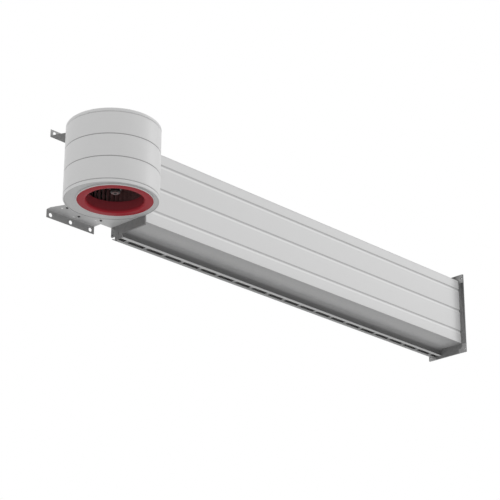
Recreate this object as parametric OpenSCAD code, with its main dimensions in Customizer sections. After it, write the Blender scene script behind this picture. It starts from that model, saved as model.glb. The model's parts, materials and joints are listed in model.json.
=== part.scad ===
// Wall-hung industrial air curtain: a round drum with a vertical fan feeds a
// long flanged duct that blows down through a slotted nozzle.
// Everything is drawn with the drum's axis at x = 0, y = 0 and its lower rim at
// z = 0, then shifted so that the middle hole of the lower wall flange, on the
// wall face, is the origin. +X runs along the duct, +Y into the wall, +Z up.

/* [Drum] */
// Outer radius of the drum
drum_r = 275; // [240:1:300]
// Height of the bottom rim and of the top rim
rim_h = 20; // [16:1:30]
// Height of each of the three bands
band_h = 138; // [110:1:160]
// Sheet thickness of the drum
drum_sheet = 2; // [1.5:0.5:3]
// Depth of the seam between two bands
seam_depth = 3; // [2:0.5:4]
// Half height of the seam
seam_half_h = 3; // [2:0.5:4]
// Width of the inward flange at each seam
seam_flange = 12; // [10:1:16]
// Radius of the rounded edge of the rims
rim_round = 6; // [4:1:8]
// Width of the flat lip under the bottom rim
rim_lip = 9; // [8:1:12]

/* [Inlet] */
// Distance of the fan axis in front of the drum axis
fan_offset = 32; // [20:1:34]
// Width of the drum's floor round the red inlet ring
inlet_margin = 57; // [55:1:65]
// Width of the ring, from its outer edge to the throat
bell_w = 53; // [51:1:64]
// How far the ring stands below the drum
inlet_drop = 8; // [5:1:10]
// Radius of the bend from the flat lip into the throat
bell_round = 12; // [8:1:20]
// Height of the upper end of the throat
throat_end_z = 60; // [54:1:66]
// Sheet thickness of the inlet ring
inlet_sheet = 2; // [1.5:0.5:2.5]
// Width of the ring's flat seat under the ring plate
inlet_seat = 7; // [6:1:9]
// Overlap of the ring plate over that seat
ring_overlap = 6; // [4:1:6]
// Thickness of the ring plate
ring_plate_t = 2; // [1.5:0.5:3]

/* [Fan] */
// Difference between the drum's radius and the impeller's
fan_margin = 60; // [57:1:68]
// Radial width of a blade
blade_w = 38; // [30:1:40]
// Width of the front ring inside the blades
eye_lip = 5; // [4:1:6]
// Height of the front ring above the drum's lower edge
fan_z = 45; // [42:1:47]
// Height of the blades
blade_h = 238; // [200:1:240]
// Number of blades
blade_count = 44; // [36:1:48]
// Thickness of a blade
blade_t = 1.5; // [1:0.5:2]
// How far a blade leads at its outer end, in degrees
blade_lead = 9; // [5:1:12]
// Belly of a blade's curve, in degrees
blade_belly = 3; // [1:0.5:4]
// Sheet thickness of the impeller
fan_sheet = 2; // [1.5:0.5:3]
// Radius where the back plate's cone meets its flat
cone_r = 140; // [130:1:150]
// Height of the hub flange
hub_flange_z = 74; // [70:1:80]
// Thickness of the hub flange
hub_flange_t = 6; // [5:1:8]
// Radius of the hub flange
hub_flange_r = 45; // [42:1:50]
// Radius of the hub
hub_r = 28; // [25:1:30]
// Height of the hub's upper end
hub_top_z = 115; // [105:1:120]
// Height of the hub's lower end
hub_z = 43; // [40:1:50]
// Radius of the hub washer
washer_r = 21.5; // [20:0.5:24]
// Thickness of the hub washer
washer_t = 5; // [3:1:6]
// Width across the flats of the hub bolt
hub_bolt_af = 16; // [14:1:19]
// Height of the hub bolt's head
hub_bolt_head = 4; // [3:0.5:7]
// Radius of the hub bolt's shank
hub_bolt_r = 5; // [4:0.5:6]
// Length of the hub bolt's shank past the washer
hub_bolt_l = 22; // [16:1:28]

/* [Motor] */
// Radius of the motor shaft
shaft_r = 12; // [10:1:14]
// Radial running gap of the shaft in its bearings
shaft_gap = 0.05; // [0.02:0.01:0.09]
// Outer radius of a bearing
bearing_r = 26; // [24:1:28]
// Height of a bearing
bearing_h = 14; // [12:1:16]
// Radius of the motor body without its fins
motor_r = 70; // [66:1:76]
// Length of the cooling fins
motor_fin = 9; // [6:1:12]
// Number of cooling fins
motor_fin_count = 20; // [12:1:24]
// Thickness of a cooling fin
motor_fin_t = 3; // [2:0.5:4]
// Wall of the motor body
motor_wall = 6; // [5:1:8]
// Height of the motor's lower end
motor_z = 236; // [230:1:244]
// Height of the motor body
motor_h = 170; // [150:1:176]
// Thickness of the motor's end shields
shield_t = 12; // [10:1:14]
// Length of the stator core
stator_h = 100; // [80:1:110]
// Inner radius of the stator core
stator_in_r = 42; // [38:1:46]
// Air gap between rotor and stator
air_gap = 1; // [0.6:0.1:1.5]
// Thickness of the motor mounting plate
mount_plate_t = 6; // [5:1:8]
// Radius of the motor mounting plate
mount_plate_r = 120; // [110:1:130]
// Radius of the circle of the motor posts
post_pcd_r = 84; // [82:1:90]
// Radius of a motor post
post_r = 9; // [8:1:11]
// Radius of a motor bolt's shank
motor_bolt_r = 4; // [3:0.5:5]

/* [Wall brackets] */
// Gap between the drum's rear tangent and the wall
wall_gap = 93; // [80:1:105]
// Middle of the brackets, from the drum axis
bracket_mid_x = 11; // [0:1:20]
// Width of the brackets
bracket_w = 360; // [350:1:370]
// Thickness of the base plate and the brackets
bracket_t = 3; // [3:0.5:4]
// Height of the folded wall flanges
wall_flange_h = 51; // [46:1:56]
// Distance of the outer wall holes from the bracket's ends
wall_hole_inset = 30; // [24:1:40]
// Radius of a wall hole
wall_hole_r = 12; // [8:0.5:13]
// Distance from a wall hole to the fold
wall_hole_fold = 30; // [26:1:32]
// Height of the base plate's underside
base_z = 7; // [6:1:8]
// Length of the straight side edge next to the wall
bracket_side = 38; // [30:1:44]
// Length of the slanted side edge along Y
bracket_slant_y = 79; // [70:1:84]
// How far the slanted side edge draws in
bracket_slant_x = 32; // [24:1:36]
// Length of the upper bracket
upper_bracket_l = 188; // [170:1:200]
// Height of the raised middle of the top cover
cover_rise = 12; // [10:1:14]
// Width of the top cover's rim round its raised middle
cover_margin = 39; // [35:1:48]

/* [Duct] */
// Length of the duct from face to face
duct_l = 3000; // [1500:10:3500]
// Front of the duct's panel, behind the drum axis
panel_y = 23; // [18:1:28]
// Height of the duct's underside, below the drum's
duct_drop = 32; // [28:1:36]
// Height of the duct without its nozzle
duct_h = 464; // [440:1:466]
// Sheet thickness of the duct
duct_sheet = 2; // [1.5:0.5:3]
// Height of the lowest groove above the duct's underside
groove_first = 92; // [80:1:100]
// Depth of the highest groove below the duct's top
groove_last = 64; // [56:1:72]
// Depth of a groove
groove_depth = 5; // [3:0.5:6]
// Height of the slope under a groove
groove_slope = 27; // [20:1:32]
// Height of the ledge over a groove
groove_ledge = 5; // [3:1:7]
// Width of the panel's inward flanges
panel_flange = 12; // [10:1:16]
// Thickness of the duct flanges
flange_t = 10; // [8:1:12]
// How far the far flange stands out above the duct
flange_w = 41; // [34:1:46]
// How far both flanges stand out behind the duct
flange_rear_w = 33; // [30:1:36]
// How far the far flange stands out in front of the duct
far_front = 39; // [34:1:42]
// How far the far flange reaches below the nozzle
flange_drop = 17; // [14:1:20]
// How far the near flange stands out in front
near_front = 6; // [4:1:8]
// How far the near flange reaches below the duct
near_drop = 21; // [18:1:24]
// How far the near flange reaches above the duct
near_rise = 18; // [16:1:20]
// Radius of the holes in the flange corners
corner_hole_r = 6.5; // [5:0.5:7]
// Side inset of the corner holes
corner_inset_y = 12; // [10:1:14]
// Height inset of the far flange's lower corner holes
corner_inset_z = 22; // [20:1:26]
// Height inset of the far flange's upper corner holes
far_top_inset = 28; // [22:1:34]
// Radius of the holes halfway up the far flange
side_hole_r = 5; // [4:0.5:6]
// Height inset of the near corner holes
near_inset_z = 11; // [10:1:13]
// Thickness of the corner plates
corner_plate_t = 2; // [1.5:0.5:3]
// Leg length of the corner plates
corner_leg = 62; // [56:1:70]
// Cut across the inner corner of the corner plates
corner_slant = 16; // [10:1:22]
// Thickness of the end cap
cap_t = 2; // [1.5:0.5:3]
// Margin of the end cap round the duct
cap_margin = 13; // [12:1:14]

/* [Nozzle] */
// Height of the nozzle's outlet, below the duct's underside
nozzle_drop = 50; // [44:1:56]
// Radius of the bend from the bottom plate to the nozzle wall
nozzle_bend = 25; // [16:1:34]
// Depth of the nozzle from its front wall to the rear panel
nozzle_d = 70; // [62:1:78]
// Depth of the outlet slot
slot_d = 30; // [24:1:34]
// Depth of the rear lip
rear_lip_d = 25; // [22:1:28]
// Distance between bridges
bridge_pitch = 150; // [120:1:156]
// Width of a bridge
bridge_w = 25; // [16:1:30]
// Place of the first bridge, from the duct's near face
bridge_first = 62; // [50:1:75]
// Height of the lips' upstands
lip_up = 18; // [14:1:22]
// How far the rear lip's tongue runs on past the near flange
lip_tongue = 22; // [16:1:28]
// Depth of that tongue
lip_tongue_d = 12; // [8:1:16]

/* [Fasteners and fittings] */
// Width across the flats of a plate screw
screw_af = 13; // [10:1:14]
// Height of a plate screw's head
screw_head = 5; // [4:1:7]
// Radius of a plate screw's shank
screw_r = 4; // [3:0.5:4.5]
// Middle of the three plate screws, from the drum axis
screw_mid_x = 27; // [20:1:34]
// Distance from the middle plate screw to the side ones
screw_side_x = 128; // [120:1:132]
// How far the side plate screws stand in front of the drum's rear tangent
screw_side_gap = 10; // [6:1:12]
// How far the middle plate screw stands behind the drum's rear tangent
screw_mid_gap = 37; // [31:1:43]
// Radius of the small holes beside the plate screws
tool_hole_r = 6; // [4:0.5:7]
// Sideways step from a plate screw to its small hole
tool_step_x = 14; // [12:1:16]
// Step towards the wall from a plate screw to its small hole
tool_step_y = 29; // [26:1:31]
// Width of a drum clip
clip_w = 30; // [24:1:36]
// Height of a drum clip
clip_h = 40; // [30:1:50]
// Thickness of a drum clip
clip_t = 3; // [2:0.5:4]
// Size of the terminal box along X
box_x = 120; // [100:1:140]
// Size of the terminal box along Y
box_y = 90; // [80:1:110]
// Height of the terminal box without its lid
box_h = 42; // [36:1:46]
// Wall of the terminal box
box_wall = 3; // [2:0.5:4]
// Thickness of the terminal box's lid
lid_t = 5; // [4:1:7]
// Radius of the gland's cable hole
gland_hole_r = 5; // [4:0.5:6]
// Radius of the gland's thread
gland_thread_r = 10; // [8:1:12]
// Width across the flats of the gland
gland_af = 26; // [24:1:30]

/* [Hidden] */

// Overrun of every cut
cut = 1;
// Gap between solids that fit in each other
fit_gap = 0.3;
// Facets of round pieces
$fn = 96;

band_count = 3;
drum_h = 2 * rim_h + band_count * band_h;
// Angle of the drum wall's free edge beside the panel's front
lip_angle = asin(panel_y / drum_r);
fan_y = -fan_offset;
inlet_r = drum_r - inlet_margin;
throat_r = inlet_r - bell_w;
fan_r = drum_r - fan_margin;
blade_in_r = fan_r - blade_w;
eye_r = blade_in_r - eye_lip;
cover_rise_r = drum_r - cover_margin;
wall_y = drum_r + wall_gap;
wall_hole_pitch = bracket_w / 2 - wall_hole_inset;
ring_hole_r = inlet_r - ring_overlap;
ring_plate_z = drum_sheet;
bracket_x0 = bracket_mid_x - bracket_w / 2;
bracket_x1 = bracket_mid_x + bracket_w / 2;
base_top = base_z + bracket_t;
wall_hole_z = base_top - wall_hole_fold;
cover_z = drum_h;
cover_top = cover_z + cover_rise;
upper_hole_z = cover_top + wall_hole_fold;
duct_x0 = drum_r;
duct_x1 = duct_x0 + duct_l;
sheet_x0 = duct_x0 + flange_t;
sheet_x1 = duct_x1 - flange_t;
duct_z0 = -duct_drop;
duct_z1 = duct_z0 + duct_h;
// The rear of the duct lines up with the drum's tangent
rear_y = drum_r;
flange_rear = rear_y + flange_rear_w;
nozzle_z = duct_z0 - nozzle_drop;
nozzle_front_y = rear_y - nozzle_d;
slot_y1 = rear_y - rear_lip_d;
slot_y0 = slot_y1 - slot_d;
near_z0 = duct_z0 - near_drop;
near_z1 = duct_z1 + near_rise;
near_y0 = panel_y - near_front;
far_y0 = panel_y - far_front;
far_z0 = nozzle_z - flange_drop;
far_z1 = duct_z1 + flange_w;
notch_y = flange_rear;
blade_z0 = fan_z + fan_sheet;
blade_z1 = blade_z0 + blade_h;
mount_plate_z = cover_top - drum_sheet - mount_plate_t;
top_shield_z = motor_z + motor_h - shield_t;
shaft_z0 = hub_z - fit_gap;
shaft_z1 = top_shield_z + shield_t;
bridge_count = floor((duct_l - flange_t - bridge_first) / bridge_pitch) + 1;

// Moves a piece from the drum's axes to the wall's
module placed() {
  translate([-bracket_mid_x, -wall_y, -wall_hole_z]) children();
}

// Moves a piece from the fan's axis to the drum's
module on_fan_axis(z = 0) {
  translate([0, fan_y, z]) children();
}

// A hexagonal head with its flats af apart
module hex(af, h) {
  cylinder(r = af / 2 / cos(30), h = h, $fn = 6);
}

// A ring between two radii
module ring(r_out, r_in, h) {
  difference() {
    cylinder(r = r_out, h = h);
    translate([0, 0, -cut]) cylinder(r = r_in, h = h + 2 * cut);
  }
}

// A solid along X from a (y, z) outline
module along_x(x0, x1) {
  translate([x0, 0, 0]) rotate([90, 0, 90]) linear_extrude(x1 - x0) children();
}

// A box from corner to corner
module block(p0, p1) {
  translate(p0) cube(p1 - p0);
}

// Turns a (r, z) profile over the drum's wall, which is open to the neck
module drum_arc() {
  rotate([0, 0, 90]) rotate_extrude(angle = 270 + lip_angle) children();
}

// Sheet profile of one band, with a joggled seam and an inward flange at each end
module band_profile(z0, z1) {
  foot = drum_r - seam_flange;
  joggle = drum_r - seam_depth;
  half_t = drum_sheet / 2;
  polygon([
    [foot, z0], [joggle, z0], [drum_r, z0 + seam_half_h],
    [drum_r, z1 - seam_half_h], [joggle, z1], [foot, z1],
    [foot, z1 - drum_sheet], [joggle - half_t, z1 - drum_sheet],
    [drum_r - drum_sheet, z1 - seam_half_h - half_t],
    [drum_r - drum_sheet, z0 + seam_half_h + half_t],
    [joggle - half_t, z0 + drum_sheet], [foot, z0 + drum_sheet]]);
}

module band(index) {
  z0 = rim_h + index * band_h;
  placed() drum_arc() band_profile(z0, z0 + band_h);
}

// Sheet profile of a rim: a rounded free edge with a flat lip, and a seam above
module rim_profile() {
  lip_r = drum_r - rim_lip;
  bend_r = drum_r - rim_round;
  foot = drum_r - seam_flange;
  joggle = drum_r - seam_depth;
  half_t = drum_sheet / 2;
  round_in = rim_round - drum_sheet;
  polygon(concat(
    [[lip_r, 0]],
    [for (a = [0:15:90]) [bend_r + rim_round * sin(a), rim_round - rim_round * cos(a)]],
    [[drum_r, rim_h - seam_half_h], [joggle, rim_h], [foot, rim_h],
     [foot, rim_h - drum_sheet], [joggle - half_t, rim_h - drum_sheet],
     [drum_r - drum_sheet, rim_h - seam_half_h - half_t]],
    [for (a = [90:-15:0]) [bend_r + round_in * sin(a), rim_round - round_in * cos(a)]],
    [[lip_r, drum_sheet]]));
}

// Outline of a bracket between the wall and the drum, from above
module bracket_outline(length) {
  y1 = wall_y;
  y0 = wall_y - bracket_side;
  y2 = y0 - bracket_slant_y;
  polygon([
    [bracket_x0, y1], [bracket_x0, y0], [bracket_x0 + bracket_slant_x, y2],
    [bracket_x0 + bracket_slant_x, wall_y - length],
    [bracket_x1 - bracket_slant_x, wall_y - length],
    [bracket_x1 - bracket_slant_x, y2], [bracket_x1, y0], [bracket_x1, y1]]);
}

// Outline of the base plate, with its tongue under the neck and the notch
module base_outline() {
  disc_r = drum_r - seam_flange;
  circle(r = disc_r);
  bracket_outline(wall_y);
  polygon([
    [bracket_x0 + bracket_slant_x, 0], [disc_r, 0], [duct_x0, panel_y],
    [duct_x0, notch_y], [bracket_x1, notch_y], [bracket_x1, wall_y],
    [bracket_mid_x, wall_y]]);
}

// The three wall holes
module wall_holes(z) {
  for (i = [-1:1])
    translate([bracket_mid_x + i * wall_hole_pitch, wall_y + cut, z])
      rotate([90, 0, 0]) cylinder(r = wall_hole_r, h = bracket_t + 2 * cut, $fn = 48);
}

// Places of the three plate screws
screw_places = [
  [screw_mid_x - screw_side_x, rear_y - screw_side_gap],
  [screw_mid_x, rear_y + screw_mid_gap],
  [screw_mid_x + screw_side_x, rear_y - screw_side_gap]];
// Way from the wall that each clip leans on to its screw: away from the drum,
// away from the neck's outer face, and inwards from the neck's inner face
clip_turns = [atan2(screw_places[0].y, screw_places[0].x), 90, -90];
clip_reaches = [
  norm(screw_places[0]) - drum_r - fit_gap,
  screw_mid_gap - fit_gap,
  screw_side_gap - drum_sheet - fit_gap];

module drum_bottom_rim() {
  color("whitesmoke") placed() difference() {
    rotate_extrude() rim_profile();
    translate([0, 0, base_z - fit_gap])
      linear_extrude(bracket_t + 2 * fit_gap) offset(delta = fit_gap) base_outline();
  }
}

module drum_lower_band() {
  color("whitesmoke") band(0);
}

module drum_middle_band() {
  color("whitesmoke") band(1);
}

module drum_upper_band() {
  color("whitesmoke") band(2);
}

module drum_top_rim() {
  color("whitesmoke") placed()
    translate([0, 0, drum_h]) mirror([0, 0, 1]) rotate_extrude() rim_profile();
}

// Lid of the drum with a raised middle, and the roof of the neck
module drum_top_cover() {
  edge_r = drum_r - rim_round;
  foot_r = cover_rise_r + cover_rise;
  color("gainsboro") placed() {
    translate([0, 0, cover_z]) rotate_extrude() polygon([
      [0, cover_rise - drum_sheet], [cover_rise_r - drum_sheet, cover_rise - drum_sheet],
      [foot_r - drum_sheet, 0], [edge_r, 0], [edge_r, drum_sheet],
      [foot_r, drum_sheet], [cover_rise_r, cover_rise], [0, cover_rise]]);
    translate([0, 0, cover_z]) linear_extrude(drum_sheet) difference() {
      polygon([[0, rear_y], [duct_x0, rear_y], [duct_x0, panel_y], [0, panel_y]]);
      circle(r = edge_r - drum_sheet);
    }
  }
}

// Floor of the drum, with a collar that hangs round the red ring
module bottom_ring_plate() {
  collar_r = inlet_r + fit_gap;
  color("darkgray") placed() {
    translate([0, 0, ring_plate_z]) difference() {
      cylinder(r = drum_r - rim_round, h = ring_plate_t);
      on_fan_axis(-cut) cylinder(r = ring_hole_r, h = ring_plate_t + 2 * cut);
    }
    on_fan_axis(-inlet_drop) ring(collar_r + ring_plate_t, collar_r,
      inlet_drop + ring_plate_z + ring_plate_t / 2);
  }
}

// Base plate, folded down at the wall to carry three wall holes
module base_plate() {
  color("darkgray") placed() difference() {
    union() {
      translate([0, 0, base_z]) linear_extrude(bracket_t) difference() {
        base_outline();
        translate([0, fan_y]) circle(r = inlet_r + inlet_seat);
        for (p = screw_places) {
          translate(p) circle(r = screw_r + fit_gap, $fn = 32);
          translate(p + [-tool_step_x, tool_step_y]) circle(r = tool_hole_r, $fn = 32);
        }
      }
      block([bracket_x0, wall_y - bracket_t, base_top - wall_flange_h],
        [bracket_x1, wall_y, base_top]);
    }
    wall_holes(wall_hole_z);
  }
}

// Upper bracket, turned up at the wall
module upper_wall_bracket() {
  color("dimgray") placed() difference() {
    union() {
      translate([0, 0, cover_top]) linear_extrude(bracket_t)
        bracket_outline(upper_bracket_l);
      block([bracket_x0, wall_y - bracket_t, cover_top],
        [bracket_x1, wall_y, cover_top + wall_flange_h]);
    }
    wall_holes(upper_hole_z);
    for (p = bracket_bolt_places)
      translate([p.x, p.y, cover_top - cut]) cylinder(r = screw_r + fit_gap,
        h = bracket_t + 2 * cut, $fn = 32);
  }
}

// Places of the bolts that hold the upper bracket on the cover
bracket_bolt_inset = 20;
bracket_bolt_places = [for (side = [-1, 1]) [
  bracket_mid_x + side * (bracket_w / 2 - bracket_slant_x - bracket_bolt_inset),
  wall_y - upper_bracket_l + bracket_bolt_inset]];

// Inlet ring: a flat lip, then a tight bend up into a straight throat
module inlet_ring() {
  edge = inlet_sheet;
  lip_z = -inlet_drop;
  bend_r = throat_r + bell_round;
  bend_z = lip_z + bell_round;
  round_in = bell_round - inlet_sheet;
  color("firebrick") placed() on_fan_axis() rotate_extrude() polygon(concat(
    [[inlet_r, ring_plate_z], [inlet_r, lip_z + edge],
     [inlet_r - edge / 4, lip_z + edge / 4], [inlet_r - edge, lip_z]],
    [for (t = [0:15:90]) [bend_r - bell_round * sin(t), bend_z - bell_round * cos(t)]],
    [[throat_r, throat_end_z], [throat_r + inlet_sheet, throat_end_z]],
    [for (t = [90:-15:0]) [bend_r - round_in * sin(t), bend_z - round_in * cos(t)]],
    [[inlet_r - edge, lip_z + edge], [inlet_r - edge, 0],
     [inlet_r - inlet_seat, 0], [inlet_r - inlet_seat, ring_plate_z]]));
}

// Rear wall of the neck: it leaves the drum at its tangent and ends in a flange
module neck_rear_wall() {
  // Where the wall's inner face clears the round rims
  clear_x = sqrt(drum_r * drum_r - (rear_y - drum_sheet) * (rear_y - drum_sheet)) + fit_gap;
  color("whitesmoke") placed() {
    block([0, rear_y - drum_sheet, rim_h + fit_gap],
      [duct_x0, rear_y, drum_h - rim_h - fit_gap]);
    block([clear_x, rear_y - drum_sheet, base_top], [duct_x0, rear_y, drum_h]);
    difference() {
      block([duct_x0 - drum_sheet, rear_y - drum_sheet, base_top],
        [duct_x0, flange_rear, near_z1]);
      for (z = neck_bolt_heights)
        translate([duct_x0 - drum_sheet - cut, rear_y + flange_rear_w / 2, z])
          rotate([0, 90, 0]) cylinder(r = screw_r + fit_gap, h = drum_sheet + 2 * cut, $fn = 32);
      translate([duct_x0 - drum_sheet - cut, near_corners[1].x, near_corners[1].y])
        rotate([0, 90, 0]) cylinder(r = corner_hole_r, h = drum_sheet + 2 * cut, $fn = 48);
    }
  }
}

// Heights of the bolts between the neck and the near flange
neck_bolt_count = 4;
neck_bolt_inset = 55;
neck_bolt_span = near_z1 - base_top - 2 * neck_bolt_inset;
neck_bolt_heights = [for (i = [0:neck_bolt_count - 1])
  base_top + neck_bolt_inset + i * neck_bolt_span / (neck_bolt_count - 1)];

// Tongue that parts the outlet from the fan, with a rounded nose
tongue_l = 38;
module cutoff_tongue() {
  nose_r = drum_sheet;
  color("darkgray") placed() translate([0, 0, rim_h + fit_gap])
    linear_extrude(band_count * band_h - 2 * fit_gap) {
      translate([duct_x0 - tongue_l, panel_y]) square([tongue_l, drum_sheet]);
      translate([duct_x0 - tongue_l, panel_y + nose_r]) circle(r = nose_r, $fn = 24);
    }
}

// Angle pieces that hold the drum and the neck on the base plate
module drum_clips() {
  color("darkgray") placed() for (i = [0:2])
    translate([screw_places[i].x, screw_places[i].y, base_top])
      rotate([0, 0, clip_turns[i]]) difference() {
        union() {
          block([-clip_reaches[i], -clip_w / 2, 0], [screw_af, clip_w / 2, clip_t]);
          block([-clip_reaches[i], -clip_w / 2, 0],
            [clip_t - clip_reaches[i], clip_w / 2, clip_h]);
        }
        translate([0, 0, -cut])
          cylinder(r = screw_r + fit_gap, h = clip_t + 2 * cut, $fn = 32);
      }
}

// Screw with its head below and its end or its nut above the stack it clamps
module screw_up(head, grip, r = screw_r, af = screw_af, nut = true) {
  translate([0, 0, -head]) hex(af, head);
  cylinder(r = r, h = grip + head - cut, $fn = 32);
  if (nut) translate([0, 0, grip]) hex(af, head - cut);
}

module plate_screws() {
  color("black") placed() for (p = screw_places)
    translate([p.x, p.y, base_z]) screw_up(screw_head, bracket_t + clip_t, nut = false);
}

// Screws that hold the cover down on the top rim's lip
cover_screw_count = 8;
cover_screw_head_r = 5;
cover_screw_head_h = 2;
module cover_screws() {
  color("silver") placed() for (i = [0:cover_screw_count - 1])
    rotate([0, 0, (i + 1 / 2) * 360 / cover_screw_count])
      translate([drum_r - rim_round - cover_screw_head_r, 0, cover_z + drum_sheet])
        cylinder(r = cover_screw_head_r, h = cover_screw_head_h, $fn = 24);
}

module bracket_bolts() {
  color("silver") placed() for (p = bracket_bolt_places)
    translate([p.x, p.y, cover_top + bracket_t]) hex(screw_af, screw_head);
}

module motor_mount_plate() {
  color("darkgray") placed() on_fan_axis(mount_plate_z) difference() {
    cylinder(r = mount_plate_r, h = mount_plate_t);
    for (i = [0:3]) rotate([0, 0, 45 + i * 90]) translate([post_pcd_r, 0, -cut])
      cylinder(r = motor_bolt_r + fit_gap, h = mount_plate_t + 2 * cut, $fn = 32);
  }
}

module motor_posts() {
  color("silver") placed() on_fan_axis(top_shield_z + shield_t)
    for (i = [0:3]) rotate([0, 0, 45 + i * 90]) translate([post_pcd_r, 0, 0])
      ring(post_r, motor_bolt_r + fit_gap, mount_plate_z - top_shield_z - shield_t, $fn = 32);
}

module motor_bolts() {
  nut_h = 2 * motor_bolt_r;
  color("silver") placed() on_fan_axis(top_shield_z)
    for (i = [0:3]) rotate([0, 0, 45 + i * 90]) translate([post_pcd_r, 0, 0]) {
      translate([0, 0, -nut_h]) hex(screw_af, nut_h);
      translate([0, 0, -nut_h])
        cylinder(r = motor_bolt_r, h = mount_plate_z + mount_plate_t - top_shield_z + nut_h, $fn = 32);
    }
}

// Upper end shield, with four ears for the posts and the bearing's seat
module motor_top_shield() {
  color("dimgray") placed() on_fan_axis(top_shield_z) difference() {
    union() {
      cylinder(r = motor_r, h = shield_t);
      for (i = [0:3]) rotate([0, 0, 45 + i * 90]) {
        translate([motor_r - motor_wall, -post_r / 2, shield_t / 4])
          cube([post_pcd_r - motor_r + motor_wall, post_r, shield_t / 2]);
        translate([post_pcd_r, 0, 0]) cylinder(r = post_r, h = shield_t, $fn = 32);
      }
      translate([0, 0, -shield_t / 2]) cylinder(r = bearing_r + motor_wall, h = shield_t);
    }
    translate([0, 0, -shield_t]) cylinder(r = bearing_r + shaft_gap, h = 3 * shield_t);
    for (i = [0:3]) rotate([0, 0, 45 + i * 90]) translate([post_pcd_r, 0, -cut])
      cylinder(r = motor_bolt_r + fit_gap, h = shield_t + 2 * cut, $fn = 32);
  }
}

module motor_body() {
  height = motor_h - 2 * shield_t;
  color("dimgray") placed() on_fan_axis(motor_z + shield_t) difference() {
    union() {
      cylinder(r = motor_r, h = height);
      for (i = [0:motor_fin_count - 1]) rotate([0, 0, i * 360 / motor_fin_count])
        translate([motor_r - motor_wall / 2, -motor_fin_t / 2, shield_t])
          cube([motor_fin + motor_wall / 2, motor_fin_t, height - 2 * shield_t]);
    }
    translate([0, 0, -cut]) cylinder(r = motor_r - motor_wall, h = height + 2 * cut);
  }
}

module motor_bottom_shield() {
  color("dimgray") placed() on_fan_axis(motor_z) difference() {
    union() {
      cylinder(r = motor_r, h = shield_t);
      cylinder(r = bearing_r + motor_wall, h = shield_t + shield_t / 2);
    }
    translate([0, 0, -cut]) cylinder(r = bearing_r + shaft_gap, h = 2 * shield_t);
  }
}

module stator_core() {
  mid = motor_z + motor_h / 2;
  color("peru") placed() on_fan_axis(mid - stator_h / 2)
    ring(motor_r - motor_wall - shaft_gap, stator_in_r, stator_h);
}

// A bearing stands in its shield, flush with the shield's inner boss
module bearing(z) {
  on_fan_axis(z) ring(bearing_r, shaft_r + shaft_gap, bearing_h);
}

module upper_bearing() {
  color("silver") placed() bearing(top_shield_z + shield_t - bearing_h);
}

module lower_bearing() {
  color("silver") placed() bearing(motor_z);
}

// Terminal box on the raised cover, beside the bracket
box_at = [-60, -20];
module terminal_box() {
  color("gray") placed() translate([box_at.x, box_at.y, cover_top]) difference() {
    translate([-box_x / 2, -box_y / 2, 0]) cube([box_x, box_y, box_h]);
    translate([-box_x / 2 + box_wall, -box_y / 2 + box_wall, box_wall])
      cube([box_x - 2 * box_wall, box_y - 2 * box_wall, box_h]);
    translate([-box_x / 2 - cut, 0, box_h / 2]) rotate([0, 90, 0])
      cylinder(r = gland_thread_r + shaft_gap, h = box_wall + 2 * cut, $fn = 48);
  }
}

module terminal_box_lid() {
  seat = box_wall + fit_gap;
  color("gray") placed() translate([box_at.x, box_at.y, cover_top + box_h]) {
    translate([-box_x / 2, -box_y / 2, 0]) cube([box_x, box_y, lid_t]);
    translate([-box_x / 2 + seat, -box_y / 2 + seat, -lid_t / 2])
      cube([box_x - 2 * seat, box_y - 2 * seat, lid_t]);
  }
}

// Gland: thread through the box wall, hexagon, and a domed clamping nut
module cable_gland() {
  body_l = 12;
  nut_l = 14;
  color("black") placed()
    translate([box_at.x - box_x / 2, box_at.y, cover_top + box_h / 2]) rotate([0, -90, 0])
      difference() {
        union() {
          hex(gland_af, body_l);
          translate([0, 0, body_l]) cylinder(r = gland_af / 2, h = nut_l, $fn = 48);
          translate([0, 0, -box_wall - nut_l / 2])
            cylinder(r = gland_thread_r, h = box_wall + nut_l / 2 + cut, $fn = 48);
        }
        translate([0, 0, -box_wall - nut_l]) cylinder(r = gland_hole_r,
          h = body_l + 3 * nut_l, $fn = 48);
      }
}

// Near flange: a thick frame round the duct's mouth
module near_flange() {
  color("dimgray") placed() difference() {
    block([duct_x0, near_y0, near_z0], [sheet_x0, flange_rear, near_z1]);
    block([duct_x0 - cut, panel_y + duct_sheet, rim_h],
      [sheet_x0 + cut, rear_y - duct_sheet, duct_z1 - duct_sheet]);
    for (p = near_corners)
      translate([duct_x0 - cut, p.x, p.y]) rotate([0, 90, 0])
        cylinder(r = corner_hole_r, h = flange_t + 2 * cut, $fn = 48);
    for (z = neck_bolt_heights)
      translate([duct_x0 - cut, rear_y + flange_rear_w / 2, z]) rotate([0, 90, 0])
        cylinder(r = screw_r + fit_gap, h = flange_t + 2 * cut, $fn = 32);
  }
}

// Rear corners of the near flange, as (y, z)
near_corners = [
  [flange_rear - corner_inset_y, near_z0 + near_inset_z],
  [flange_rear - corner_inset_y, near_z1 - near_inset_z]];

// An L of two legs along a flange's corner; sy and sz point into the flange
module corner_plate(y, z, sy, sz, inset_y, inset_z) {
  width = flange_rear_w - 2 * duct_sheet;
  slant = width + corner_slant;
  translate([0, y, z]) scale([1, sy, sz]) along_x(0, corner_plate_t) difference() {
    polygon([[0, 0], [corner_leg, 0], [corner_leg, width], [slant, width],
      [width, slant], [width, corner_leg], [0, corner_leg]]);
    translate([inset_y, inset_z]) circle(r = corner_hole_r, $fn = 48);
  }
}

// Plates on the near flange's lower rear corner, on the side of the drum
module near_corner_plates() {
  color("gray") placed() translate([duct_x0 - corner_plate_t, 0, 0]) difference() {
    corner_plate(flange_rear, near_z0, -1, 1, corner_inset_y, near_inset_z);
    block([-cut, 0, base_z - fit_gap], [flange_t, flange_rear + cut, drum_h]);
  }
}

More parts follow.
